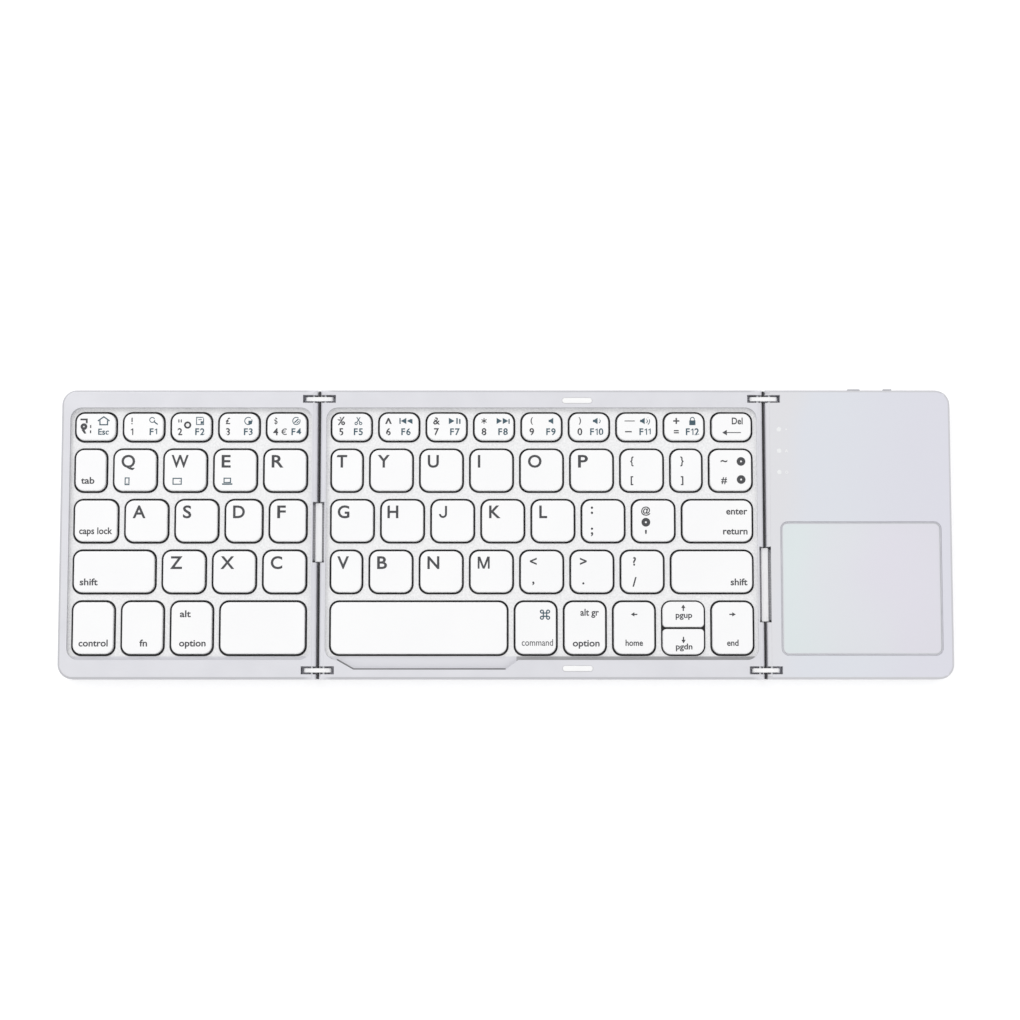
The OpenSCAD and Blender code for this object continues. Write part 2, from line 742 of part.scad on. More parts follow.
module right_bottom_case() {
    color(silver) difference() {
        union() {
            difference() {
                right_block(foot_h, split_z, bottom_edge_r, 0);
                right_hollow(floor_z, split_z + past);
            }
            slot_lugs(right_seam, 1, floor_z - slip, split_z);
            bosses(right_screw_at, floor_z - slip, split_z);
            board_posts();
        }
        right_seam_cuts(1);
        screw_holes(right_screw_at);
        foot_seats(right_feet_at);
        socket_shape(panel_d / 2 + past, slip);
    }
}

// ================= top frames and decks =================

// The key well of the left panel, grown by a border; seam_border is on the seam side
module left_well_2d(border, seam_border) {
    round_box_2d(left_well[0] - border, left_well[1] + seam_border,
                 well_front - border, well_back + border, well_corner_r + border);
}

// The thumb recess in front of the right space bar, grown by a border
module thumb_2d(border) {
    y = well_front;
    polygon([
        [thumb_x - border, y + thumb_d],
        [thumb_x - border, y],
        [thumb_x + thumb_slant - border / 2, y - thumb_d - border],
        [thumb_x2 - thumb_end + border / 2, y - thumb_d - border],
        [thumb_x2 + border, y],
        [thumb_x2 + border, y + thumb_d]
    ]);
}

module middle_well_2d(border, seam_border) {
    round_box_2d(middle_well[0] - seam_border, middle_well[1] + seam_border,
                 well_front - border, well_back + border, well_corner_r + border);
    thumb_2d(border);
}

module left_top_frame() {
    color(silver) difference() {
        left_block(split_z, panel_h, 0, top_edge_r);
        translate([0, 0, split_z - past]) linear_extrude(panel_h) left_well_2d(0, 0);
        translate([0, 0, split_z - past]) linear_extrude(deck_z - split_z + past)
            left_well_2d(deck_border + slip, deck_seam_border + slip);
        left_seam_cuts(-1);
        screw_holes(left_screw_at);
    }
}

module middle_top_frame() {
    color(silver) difference() {
        middle_block(split_z, panel_h, 0, top_edge_r);
        translate([0, 0, split_z - past]) linear_extrude(panel_h) middle_well_2d(0, 0);
        translate([0, 0, split_z - past]) linear_extrude(deck_z - split_z + past)
            middle_well_2d(deck_border + slip, deck_seam_border + slip);
        left_seam_cuts(1);
        right_seam_cuts(-1);
        screw_holes(middle_screw_at);
        translate([0, 0, panel_h - pad_seat]) linear_extrude(pad_seat + past)
            pads_2d(2 * slip);
    }
}

// The outlines of the openings that the keycaps move in
module key_openings_2d(keys) {
    for (k = keys) translate([k[0], k[1]])
        round_rect(k[2] + 2 * key_clear, k[3] + 2 * key_clear, key_corner_r + key_clear);
}

module left_key_deck() {
    color(deck_grey) translate([0, 0, deck_low]) linear_extrude(deck_t) difference() {
        left_well_2d(deck_border, deck_seam_border);
        key_openings_2d(left_keys);
    }
}

module middle_key_deck() {
    color(deck_grey) translate([0, 0, deck_low]) linear_extrude(deck_t) difference() {
        middle_well_2d(deck_border, deck_seam_border);
        key_openings_2d(middle_keys);
    }
}

// ================= fold pads =================

// Two pills under the line where the folded panels meet
module pads_2d(grow) {
    x = (left_seam + left_w + right_seam - right_w) / 2;
    for (s = [-1, 1]) translate([x, s * (panel_d / 2 - pad_inset)])
        round_rect(pad_l + grow, pad_w + grow, pill_r(pad_w + grow));
}

module fold_pads() {
    color(white) translate([0, 0, panel_h - pad_seat]) linear_extrude(pad_seat + pad_proud)
        pads_2d(0);
}

// ================= key mechanism =================

// A sheet on the ribs of the left panel, with its edges trimmed
module left_sheet(trim, z, t) {
    x0 = left_x + plate_end_edge + trim;
    y = plate_y - trim;
    translate([x0, -y, z]) cube([left_seam - plate_seam_edge - trim - x0, 2 * y, t]);
}

module middle_sheet(trim, z, t) {
    x0 = left_seam + plate_seam_edge + trim;
    y = plate_y - trim;
    translate([x0, -y, z]) cube([right_seam - plate_seam_edge - trim - x0, 2 * y, t]);
}

module left_base_plate() {
    color(steel) left_sheet(0, plate_z, plate_t);
}

module middle_base_plate() {
    color(steel) middle_sheet(0, plate_z, plate_t);
}

module left_membrane() {
    color("darkseagreen") left_sheet(membrane_trim, membrane_z, membrane_t);
}

module middle_membrane() {
    color("darkseagreen") middle_sheet(membrane_trim, membrane_z, membrane_t);
}

// A hollow rubber dome that stands on the membrane and carries its key
module domes(keys) {
    h = cap_under - switch_z - dome_slack;
    r = dome_d / 2;
    top_r = dome_top_d / 2;
    for (k = keys) translate([k[0], k[1], switch_z]) rotate_extrude() polygon([
        [0, h - 2 * dome_wall], [top_r - dome_wall, h - 2 * dome_wall],
        [r - dome_wall, 0], [r, 0], [r, dome_wall], [top_r, h], [0, h]
    ]);
}

// The outer and the inner arm of one scissor, crossed and joined at their middles
module scissor() {
    rise = cap_under - switch_z - scissor_t - dome_slack;
    tilt = asin(rise / scissor_l);
    inner_w = scissor_w - 2 * scissor_bar - 2 * scissor_clear;
    pivot_reach = inner_w / 2 + scissor_clear + scissor_bar / 2;
    rotate([tilt, 0, 0]) difference() {
        scissor_arm(scissor_w);
        rotate([0, 90, 0]) cylinder(d = scissor_pivot_d + 2 * slip,
                                    h = 2 * (pivot_reach + slip), center = true);
    }
    rotate([-tilt, 0, 0]) {
        scissor_arm(inner_w);
        for (s = [-1, 1]) translate([s * (inner_w / 2 - scissor_bar / 2), 0, 0])
            rotate([0, s * 90, 0])
                cylinder(d = scissor_pivot_d, h = pivot_reach - inner_w / 2 + scissor_bar / 2);
    }
}

module scissor_arm(w) {
    linear_extrude(scissor_t, center = true) difference() {
        square([w, scissor_l], center = true);
        square([w - 2 * scissor_bar, scissor_l - 2 * scissor_bar], center = true);
    }
}

// One scissor under a key, or one near each end of a key that is wide enough for two
// scissors beside its dome
module scissors(keys) {
    for (k = keys) {
        reach = k[2] / 2 - cap_wall - scissor_inset - scissor_w / 2;
        two = reach > (scissor_w + dome_d) / 2;
        for (x = two ? [-reach, reach] : [0])
            translate([k[0] + x, k[1], (switch_z + cap_under) / 2]) scissor();
    }
}

module left_domes() {
    color("whitesmoke") domes(left_keys);
}

module middle_domes() {
    color("whitesmoke") domes(middle_switches);
}

module left_scissors() {
    color("gainsboro") scissors(left_keys);
}

module middle_scissors() {
    color("gainsboro") scissors(middle_switches);
}

// ================= keycaps =================

// The hollow underside of a keycap
module cap_hollow(k) {
    translate([k[0], k[1], cap_low - past]) linear_extrude(cap_under - cap_low + past)
        round_rect(k[2] - 2 * cap_wall, k[3] - 2 * cap_wall, key_corner_r - cap_wall);
}

module key_cap(k) {
    difference() {
        translate([k[0], k[1], cap_low]) linear_extrude(cap_h)
            round_rect(k[2], k[3], key_corner_r);
        cap_hollow(k);
    }
}

module left_row(row, first, last) {
    color(white) for (i = [first:last]) key_cap(left_key(row, i));
}

module middle_row(row, first, last) {
    color(white) for (i = [first:last]) key_cap(middle_key(row, i));
}

// A half-depth arrow key: round outside, square towards its neighbour
module half_arrow_cap(half) {
    whole = middle_key(4, arrow_column);
    k = half_arrow(half);
    color(white) translate([0, 0, cap_low]) difference() {
        linear_extrude(cap_h) intersection() {
            translate([whole[0], whole[1]]) round_rect(whole[2], whole[3], key_corner_r);
            translate([k[0], k[1]]) square([k[2] + past, k[3]], center = true);
        }
        translate([k[0], k[1], -past]) linear_extrude(cap_under - cap_low + past)
            round_rect(k[2] - 2 * cap_wall, k[3] - 2 * cap_wall, key_corner_r - cap_wall);
    }
}

// ================= hinges =================

// Two links joined by a spine that runs down the seam
module hinge_frame(seam) {
    color(white) translate([seam, 0, 0]) {
        for (s = [-1, 1]) difference() {
            along_y(s * slot_y - link_t / 2, s * slot_y + link_t / 2) {
                translate([0, hinge_z]) round_rect(link_l, link_h, pill_r(link_h));
                translate([-spine_w / 2, spine_z]) square([spine_w, hinge_z - spine_z]);
            }
            for (side = [-1, 1]) translate([side * pivot_x, s * slot_y, hinge_z])
                rotate([90, 0, 0]) cylinder(d = pin_d, h = link_t + past, center = true);
        }
        translate([-spine_w / 2, -slot_y, spine_z]) cube([spine_w, 2 * slot_y, spine_h]);
    }
}

// Four pins, pressed into the links
module hinge_pins(seam) {
    low = slot_y - slot_w / 2 - bore_in + 2 * slip;
    high = slot_y + slot_w / 2 + bore_out - 2 * slip;
    color(steel) for (side = [-1, 1]) for (s = [-1, 1]) scale([1, s, 1])
        translate([seam + side * pivot_x, low, hinge_z])
            rotate([-90, 0, 0]) cylinder(d = pin_d, h = high - low);
}

// A bar that clips over the spine and has a slit for the flat cable
module cable_bridge(seam, y, l) {
    color(white) translate([seam, y, 0]) difference() {
        translate([-bridge_w / 2, -l / 2, bridge_z]) cube([bridge_w, l, bridge_h]);
        translate([-spine_w / 2 - slip, -l / 2 - past, bridge_z - past])
            cube([spine_w + 2 * slip, l + 2 * past, spine_z + spine_h + slip - bridge_z + past]);
        translate([0, 0, cable_z]) cube([bridge_w + past, cable_width(l) + 2 * edge_clear,
                                         cable_t + 2 * slip], center = true);
    }
}

module flex_cable(seam, y, l) {
    color("peru") translate([seam, y, cable_z])
        cube([2 * (cable_reach - edge_clear), cable_width(l), cable_t], center = true);
}

// ================= touchpad panel =================

// A hole through the back wall for a control that fills or sweeps a width
module control_hole(x, w) {
    translate([x, back_wall, control_z])
        cube([w + 2 * control_clear, 2 * (wall_t + past), control_h + 2 * control_clear],
             center = true);
}

module right_top_cover() {
    color(silver) difference() {
        union() {
            difference() {
                right_block(split_z, panel_h, 0, top_edge_r);
                right_hollow(split_z - past, cover_z);
            }
            slot_lugs(right_seam, 1, split_z, panel_h - top_edge_r);
            bosses(right_screw_at, split_z, panel_h - top_edge_r);
        }
        right_seam_cuts(1);
        screw_holes(right_screw_at);
        translate([touch_x, touch_y, split_z]) linear_extrude(panel_h)
            round_rect(touch_w, touch_d, touch_corner_r);
        for (y = light_y) translate([light_x, y, split_z])
            cylinder(d = light_d + 2 * slip, h = panel_h);
        control_hole(button_x, button_w);
        control_hole(knob_x - knob_travel / 2, knob_w + knob_travel);
        socket_shape(panel_d / 2 + past, slip);
    }
}

module touchpad() {
    w = touch_w - 2 * touch_groove;
    d = touch_d - 2 * touch_groove;
    color(pearl) translate([touch_x, touch_y, cover_z])
        linear_extrude(cover_t - touch_sink) round_rect(w, d, touch_corner_r - touch_groove);
}

module touchpad_board() {
    w = touch_w + 2 * touch_board_lap;
    d = touch_d + 2 * touch_board_lap;
    color("darkgreen") translate([touch_x, touch_y, cover_z - touch_board_t / 2])
        cube([w, d, touch_board_t], center = true);
}

module battery() {
    color("slategray") translate([touch_x, touch_y, floor_z]) linear_extrude(battery_t)
        round_rect(battery_l, battery_d, battery_corner_r);
}

module main_board() {
    middle = [mean(board_x), mean(board_y), board_top];
    switch_h = control_z + control_h / 2 - board_top;
    slide_w = knob_travel + knob_w + 2 * switch_lap;
    color("seagreen") {
        difference() {
            translate([board_x[0], board_y[0], board_z])
                cube([board_x[1] - board_x[0], board_y[1] - board_y[0], board_t]);
            translate([socket_x - socket_w / 2 - slip, socket_y - slip, board_z - past])
                cube([socket_w + 2 * slip, socket_d, board_t + 2 * past]);
        }
        for (c = chips) translate(middle + [c[0] - c[2] / 2, c[1] - c[3] / 2, 0])
            cube([c[2], c[3], chip_h]);
        // lamps under the indicator lights
        for (y = light_y) translate([light_x - light_d / 2, y - light_d / 2, board_top])
            cube([light_d, light_d, lamp_h]);
        // the push switch and the slide switch
        translate([button_x - button_w / 2, switch_y - switch_d, board_top])
            cube([button_w, switch_d, switch_h]);
        translate([knob_x - (knob_travel + slide_w) / 2, switch_y - switch_d, board_top])
            cube([slide_w, switch_d, switch_h]);
    }
}

// The charging socket's outline, from its back to y1; grow adds a clearance all round
module socket_shape(y1, grow) {
    along_y(socket_y, y1) translate([socket_x, socket_z])
        round_rect(socket_w + 2 * grow, socket_h + 2 * grow, pill_r(socket_h) + grow);
}

module charging_socket() {
    inside = socket_y + socket_back;
    color(steel) {
        difference() {
            socket_shape(panel_d / 2 - socket_recess, 0);
            along_y(inside, panel_d / 2) translate([socket_x, socket_z])
                round_rect(socket_w - 2 * socket_wall, socket_h - 2 * socket_wall,
                           pill_r(socket_h) - socket_wall);
        }
        translate([socket_x - tongue_w / 2, inside - slip, socket_z - tongue_t / 2])
            cube([tongue_w, socket_d - 2 * socket_back + slip, tongue_t]);
    }
}

// A light guide from its lamp up to the face of the cover
module indicator_lights() {
    low = board_top + lamp_h;
    color("white") for (y = light_y)
        translate([light_x, y, low]) cylinder(d = light_d, h = panel_h - low);
}

// A control that passes through the back wall, with a flange behind it
module wall_control(x, w) {
    front = back_wall - control_clear;
    translate([x - w / 2, front - slip, control_z - control_h / 2])
        cube([w, panel_d / 2 + control_proud - front + slip, control_h]);
    translate([x - w / 2 - flange_lap, front - flange_t, control_z - control_h / 2])
        cube([w + 2 * flange_lap, flange_t, control_h]);
}

module power_switch_knob() {
    color(control_grey) wall_control(knob_x, knob_w);
}

module connect_button() {
    color(control_grey) wall_control(button_x, button_w);
}

// ================= feet and screws =================

module feet(places) {
    color(dark) for (p = places) translate([p[0], p[1], 0])
        cylinder(d = foot_d, h = foot_h + foot_seat);
}

module screws(places) {
    color(steel) for (p = places) translate([p[0], p[1], foot_h]) difference() {
        union() {
            cylinder(d = screw_head_d, h = screw_head_h);
            cylinder(d = screw_d, h = screw_top - foot_h - slip);
        }
        for (a = [0, 90]) rotate([0, 0, a])
            cube([cross_l, cross_w, 2 * cross_depth], center = true);
    }
}

// ================= nodes =================

left_bottom_case();
left_top_frame();
left_key_deck();
left_base_plate();
left_membrane();
left_domes();
left_scissors();
screws(left_screw_at);  // left_screws
feet(left_feet_at);  // left_feet
left_row(0, 0, 4);  // keys_left_numbers
left_row(1, 0, 0);  // key_tab
left_row(1, 1, 4);  // keys_left_upper
left_row(2, 0, 0);  // key_caps_lock
left_row(2, 1, 4);  // keys_left_home
left_row(3, 0, 0);  // key_shift_left
left_row(3, 1, 3);  // keys_left_lower
left_row(4, 0, 2);  // keys_left_modifiers
left_row(4, 3, 3);  // key_space_left
middle_bottom_case();
middle_top_frame();
middle_key_deck();
middle_base_plate();
middle_membrane();
middle_domes();
middle_scissors();
screws(middle_screw_at);  // middle_screws
feet(middle_feet_at);  // middle_feet
fold_pads();
middle_row(0, 0, 8);  // keys_middle_numbers
middle_row(1, 0, 8);  // keys_middle_upper
middle_row(2, 0, 6);  // keys_middle_home
middle_row(2, 7, 7);  // key_enter
middle_row(3, 0, 6);  // keys_middle_lower
middle_row(3, 7, 7);  // key_shift_right
middle_row(4, 0, 0);  // key_space_right
middle_row(4, 1, 2);  // keys_middle_modifiers
middle_row(4, 3, 3);  // key_arrow_left
half_arrow_cap(1);  // key_arrow_up
half_arrow_cap(-1);  // key_arrow_down
middle_row(4, 5, 5);  // key_arrow_right
right_bottom_case();
right_top_cover();
touchpad();
touchpad_board();
battery();
main_board();
charging_socket();
indicator_lights();
power_switch_knob();
connect_button();
screws(right_screw_at);  // right_screws
feet(right_feet_at);  // right_feet
hinge_frame(left_seam);  // left_hinge_frame
hinge_pins(left_seam);  // left_hinge_pins
cable_bridge(left_seam, left_bridge_y, left_bridge_l);  // left_cable_bridge
flex_cable(left_seam, left_bridge_y, left_bridge_l);  // left_flex_cable
hinge_frame(right_seam);  // right_hinge_frame
hinge_pins(right_seam);  // right_hinge_pins
cable_bridge(right_seam, -right_bridge_y, right_bridge_l);  // right_cable_bridge
flex_cable(right_seam, -right_bridge_y, right_bridge_l);  // right_flex_cable
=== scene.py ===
import json
import math

import bmesh
import bpy
import numpy as np
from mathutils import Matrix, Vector

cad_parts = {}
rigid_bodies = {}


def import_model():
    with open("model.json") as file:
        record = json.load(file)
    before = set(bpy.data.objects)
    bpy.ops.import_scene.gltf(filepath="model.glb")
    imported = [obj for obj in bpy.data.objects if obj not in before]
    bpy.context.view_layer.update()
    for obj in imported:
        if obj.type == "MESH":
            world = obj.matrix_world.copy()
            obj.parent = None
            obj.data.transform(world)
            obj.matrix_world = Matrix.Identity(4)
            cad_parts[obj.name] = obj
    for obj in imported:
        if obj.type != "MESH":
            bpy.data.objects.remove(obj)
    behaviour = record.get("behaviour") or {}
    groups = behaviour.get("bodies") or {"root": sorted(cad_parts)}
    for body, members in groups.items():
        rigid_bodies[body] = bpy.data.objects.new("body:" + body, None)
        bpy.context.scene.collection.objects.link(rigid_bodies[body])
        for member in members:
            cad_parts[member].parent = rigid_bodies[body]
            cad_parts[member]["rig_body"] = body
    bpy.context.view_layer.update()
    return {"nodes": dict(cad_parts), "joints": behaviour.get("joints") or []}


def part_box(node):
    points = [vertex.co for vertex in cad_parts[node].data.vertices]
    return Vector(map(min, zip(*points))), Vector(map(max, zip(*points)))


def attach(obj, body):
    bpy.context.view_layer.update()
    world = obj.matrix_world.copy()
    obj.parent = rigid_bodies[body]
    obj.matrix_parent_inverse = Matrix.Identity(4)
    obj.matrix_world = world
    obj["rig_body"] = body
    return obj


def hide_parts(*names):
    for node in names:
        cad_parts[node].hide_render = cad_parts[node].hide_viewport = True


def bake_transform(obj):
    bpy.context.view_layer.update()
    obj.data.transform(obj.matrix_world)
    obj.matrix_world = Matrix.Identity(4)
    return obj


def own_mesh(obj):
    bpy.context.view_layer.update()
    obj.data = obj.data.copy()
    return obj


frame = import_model()
nodes = frame["nodes"]

# ---- Bottom cases -------------------------------------------------------------------
# Three shallow trays of bead-blasted, silver-anodised aluminium, milled with their
# screw bosses and ribs. Each closes its panel from below and carries the feet.
MM = 0.001
SILVER = (0.735, 0.735, 0.79)
SILVER_SHADE = (0.70, 0.70, 0.755)
SIDE_SHADE_SILVER = (0.60, 0.60, 0.63)
EDGE_HIGHLIGHT = (0.95, 0.95, 0.97)
OUTER_RIM = (149.5, 48.0)
CASE_BEVEL = 0.18
MERGE_GAP = 0.002
FLAT_DEGREES = 1.0
SHARP_DEGREES = 35
SEAM_FADE = 2.5
MOTTLE_SPAN = (0.35, 0.65)
GRAIN_SPAN = (0.3, 0.7)
pivots = [joint["pos_m"][0] / MM for joint in frame["joints"] if "_fold_" in joint["name"]]
SEAMS_MIDDLE = sum(pivots) / len(pivots)
SEAMS_HALF = sum(abs(x - SEAMS_MIDDLE) for x in pivots) / len(pivots)


def feed(tree, node, inputs):
    """Joins each input of a node, by name or number, to a socket, or sets it to a value."""
    for name, value in inputs.items():
        if isinstance(value, bpy.types.NodeSocket):
            tree.links.new(value, node.inputs[name])
        else:
            node.inputs[name].default_value = value
    return node


def fed(tree, kind, inputs=None, **settings):
    """A new shader node of a kind, with its settings and its inputs."""
    node = tree.nodes.new("ShaderNode" + kind)
    for name, value in settings.items():
        setattr(node, name, value)
    return feed(tree, node, inputs or {})


def maths(tree, operation, *values, clamp=False):
    """The result of a Math node on up to three sockets or numbers."""
    return fed(tree, "Math", dict(enumerate(values)), operation=operation, use_clamp=clamp).outputs[0]


def ranged(tree, value, start, end, low=0.0, high=1.0, **settings):
    """A value mapped from between start and end to between low and high."""
    ends = {"Value": value, "From Min": start, "From Max": end, "To Min": low, "To Max": high}
    return fed(tree, "MapRange", ends, **settings).outputs["Result"]


def mixed(tree, share, *colours):
    """A mix of two colours or colour sockets: the first where the share is 0, the second at 1."""
    ends = {name: (*c, 1) if isinstance(c, tuple) else c for name, c in zip("AB", colours)}
    return fed(tree, "Mix", {"Factor": share, **ends}, data_type="RGBA").outputs["Result"]


def own_axes(tree, kind="Object"):
    """X, Y and Z of the piece's own coordinates, or of its own normal."""
    return fed(tree, "SeparateXYZ", {0: fed(tree, "TexCoord").outputs[kind]}).outputs


def float_group(name, inputs, outputs):
    """An empty shader node group with the named inputs, each with its value, and the named
    outputs. Gives back the group, the sockets that come in and the ones that go out."""
    group = bpy.data.node_groups.new(name, "ShaderNodeTree")
    for socket, value in inputs.items():
        made = group.interface.new_socket(socket, in_out="INPUT", socket_type="NodeSocketFloat")
        made.default_value = value
    for socket in outputs:
        group.interface.new_socket(socket, in_out="OUTPUT", socket_type="NodeSocketFloat")
    return group, group.nodes.new("NodeGroupInput").outputs, group.nodes.new("NodeGroupOutput").inputs


def fine_grain_group():
    """Fine moulded or blasted grain: two noises on the object's own coordinates, a small one
    for the grain and a large one for soft mottling. Puts out a height and two masks."""
    group, given, out = float_group("fine_grain", {"Grain Size": 0.25, "Mottle Size": 12.0},
                                    ("Height", "Grain", "Mottle"))
    place = fed(group, "TexCoord").outputs["Object"]
    for size, detail, names in (("Grain Size", 3.0, ("Height", "Grain")),
                                ("Mottle Size", 2.0, ("Mottle",))):
        scale = maths(group, "DIVIDE", 1 / MM, given[size])
        noise = fed(group, "TexNoise", {"Vector": place, "Scale": scale, "Detail": detail})
        for name in names:
            group.links.new(noise.outputs["Fac"], out[name])
    return group


def edge_mask_group():
    """How sharply the surface turns within a radius: one less the dot product of the true
    normal and of a normal that is averaged over that radius, times a strength."""
    group, given, out = float_group("edge_mask", {"Radius": 0.3, "Strength": 4.0}, ("Edge",))
    around = fed(group, "Bevel", {"Radius": maths(group, "MULTIPLY", given["Radius"], MM)}, samples=4)
    surface = fed(group, "NewGeometry")
    dot = fed(group, "VectorMath", {0: around.outputs[0], 1: surface.outputs["Normal"]},
              operation="DOT_PRODUCT")
    turn = maths(group, "SUBTRACT", 1.0, dot.outputs["Value"])
    group.links.new(maths(group, "MULTIPLY", turn, given["Strength"], clamp=True), out["Edge"])
    return group


def painted_shade_group():
    """Where painted shade goes: how upright a face stands, the height of its own normal, without
    its sign, mapped so that level faces give 0 and upright ones 1. It counts only where X or Y
    lies farther from the middle than its reach in millimetres, and where X keeps clear of both
    seams, which is where its distance from the point between them differs from half their
    distance: from 0 at the clear distance to 1 at two and a half times it."""
    group, given, out = float_group("flank_mask", {"Level": 0.999, "Upright": 0.975, "Reach X": 0.0,
                                                   "Reach Y": 0.0, "Clear": 0.0}, ("Flank",))
    height = maths(group, "ABSOLUTE", own_axes(group, "Normal")["Z"])
    upright = ranged(group, height, given["Level"], given["Upright"])
    spot = own_axes(group)
    beyond = [maths(group, "GREATER_THAN", maths(group, "ABSOLUTE", spot[axis]),
                    maths(group, "MULTIPLY", given["Reach " + axis], MM)) for axis in "XY"]
    outer = maths(group, "MAXIMUM", *beyond)
    away = spot["X"]
    for centre in (SEAMS_MIDDLE, SEAMS_HALF):
        away = maths(group, "ABSOLUTE", maths(group, "SUBTRACT", away, centre * MM))
    free = ranged(group, away, maths(group, "MULTIPLY", given["Clear"], MM),
                  maths(group, "MULTIPLY_ADD", given["Clear"], SEAM_FADE * MM, 0.01 * MM))
    flank = maths(group, "MULTIPLY", maths(group, "MULTIPLY", upright, outer), free)
    group.links.new(flank, out["Flank"])
    return group


FINE_GRAIN = fine_grain_group()
EDGE_MASK = edge_mask_group()
PAINTED_SHADE_MASK = painted_shade_group()


def with_shaded_sides(tree, surface, side, reach, clear=0.0):
    """A surface's colour, with the side colour painted as shade on upright faces beyond the reach
    and clear of the seams."""
    flank = fed(tree, "Group", {"Reach X": reach[0], "Reach Y": reach[1], "Clear": clear},
                node_tree=PAINTED_SHADE_MASK)
    return mixed(tree, flank.outputs["Flank"], surface, side)


def grained_finish(name, colour, shade, metallic=0.0, rough=(0.35, 0.5), grain=0.25, mottle=12.0,
                   depth=0.01, edge=0.0, coat=0.0, side=None, reach=(0.0, 0.0), clear=0.0):
    """A material whose colour mottles between colour and shade, whose roughness follows the
    grain, whose bump is depth millimetres deep, whose edges get a painted highlight of strength
    edge, and whose upright faces beyond the reach and clear of the seams have the side colour as
    painted shade, if it is given."""
    made = bpy.data.materials.new(name)
    made.use_nodes = True
    tree = made.node_tree
    texture = fed(tree, "Group", {"Grain Size": grain, "Mottle Size": mottle}, node_tree=FINE_GRAIN).outputs
    surface = mixed(tree, ranged(tree, texture["Mottle"], *MOTTLE_SPAN), colour, shade)
    # Painted highlight: a lighter colour on the edges, where the surface turns.
    if edge > 0:
        rim = fed(tree, "Group", node_tree=EDGE_MASK).outputs["Edge"]
        surface = mixed(tree, maths(tree, "MULTIPLY", rim, edge), surface, EDGE_HIGHLIGHT)
    # Painted shade: the side colour on upright faces.
    if side:
        surface = with_shaded_sides(tree, surface, side, reach, clear)
    bump = fed(tree, "Bump", {"Strength": 0.35, "Distance": depth * MM, "Height": texture["Height"]})
    feed(tree, tree.nodes["Principled BSDF"], {
        "Base Color": surface, "Metallic": metallic, "Coat Weight": coat, "Coat Roughness": 0.12,
        "Roughness": ranged(tree, texture["Grain"], *GRAIN_SPAN, *rough),
        "Normal": bump.outputs["Normal"]})
    return made


def dress(node, finish):
    """Gives a CAD node its finish in every slot."""
    materials = nodes[node].data.materials
    if not materials:
        materials.append(finish)
    for i in range(len(materials)):
        materials[i] = finish


def body_of(node):
    """The body that a CAD node rides on."""
    return nodes[node]["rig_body"]


def stand_for(piece, node):
    """The piece takes the node's place: it rides on its body, and the node is hidden."""
    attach(piece, body_of(node))
    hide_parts(node)


def merged_form(mesh, whole_faces=False):
    """A bmesh copy of a mesh, its loose triangles merged at their corners and, if asked for,
    the flat ones joined into whole faces."""
    form = bmesh.new()
    form.from_mesh(mesh)
    bmesh.ops.remove_doubles(form, verts=form.verts, dist=MERGE_GAP * MM)
    if whole_faces:
        bmesh.ops.dissolve_limit(form, angle_limit=math.radians(FLAT_DEGREES), verts=form.verts,
                                 edges=form.edges)
    return form


def softened(node, width, finish):
    """A merged copy of a CAD node, each of whose edges that turns by more than the limit gets a
    bevel of that width in millimetres."""
    mesh = nodes[node].data.copy()
    form = merged_form(mesh, whole_faces=True)
    form.to_mesh(mesh)
    form.free()
    mesh.materials.clear()
    mesh.materials.append(finish)
    piece = bpy.data.objects.new(node + "_shell", mesh)
    bpy.context.scene.collection.objects.link(piece)
    bevel = piece.modifiers.new("edges", "BEVEL")
    bevel.width = width * MM
    bevel.segments = 2
    bevel.limit_method = "ANGLE"
    bevel.angle_limit = math.radians(SHARP_DEGREES)
    bevel.miter_outer = "MITER_ARC"
    level = piece.modifiers.new("level faces", "WEIGHTED_NORMAL")
    level.mode = "FACE_AREA"
    level.weight = 100
    mesh.polygons.foreach_set("use_smooth", np.ones(len(mesh.polygons), bool))
    stand_for(piece, node)


# Painted shade on the trays' upright outer faces, and a painted highlight on their edges.
case_silver = grained_finish("case_silver", SILVER, SILVER_SHADE, metallic=0.3, rough=(0.34, 0.46),
                             edge=0.25, side=SIDE_SHADE_SILVER, reach=OUTER_RIM)
for tray in ("left_bottom_case", "middle_bottom_case", "right_bottom_case"):
    softened(tray, CASE_BEVEL, case_silver)

# ---- Feet ---------------------------------------------------------------------------
# Twelve dark silicone discs, die-cut with a soft edge and glued into round seats. The
# middle of each is slightly hollow.
FOOT_GREY = (0.07, 0.073, 0.08)
FOOT_EDGE = 0.25
FOOT_HOLLOW = 0.1
HOLLOW_SHARE = 0.55
RING_SHARE = 0.62


def mesh_piece(name, points, faces, finish, smooth=True):
    """An object at the origin from points in millimetres and its faces."""
    mesh = bpy.data.meshes.new(name)
    mesh.from_pydata(np.asarray(points, float) * MM, [], faces)
    mesh.polygons.foreach_set("use_smooth", np.full(len(mesh.polygons), smooth))
    mesh.materials.append(finish)
    mesh.update()
    piece = bpy.data.objects.new(name, mesh)
    bpy.context.scene.collection.objects.link(piece)
    return piece


def ring_faces(rings, around):
    """Quads between neighbouring rings of a grid, each ring closed on itself."""
    i, j = np.meshgrid(np.arange(rings - 1), np.arange(around), indexing="ij")
    k = (j + 1) % around
    quads = np.stack([i * around + j, i * around + k, (i + 1) * around + k, (i + 1) * around + j], -1)
    return quads.reshape(-1, 4).tolist()


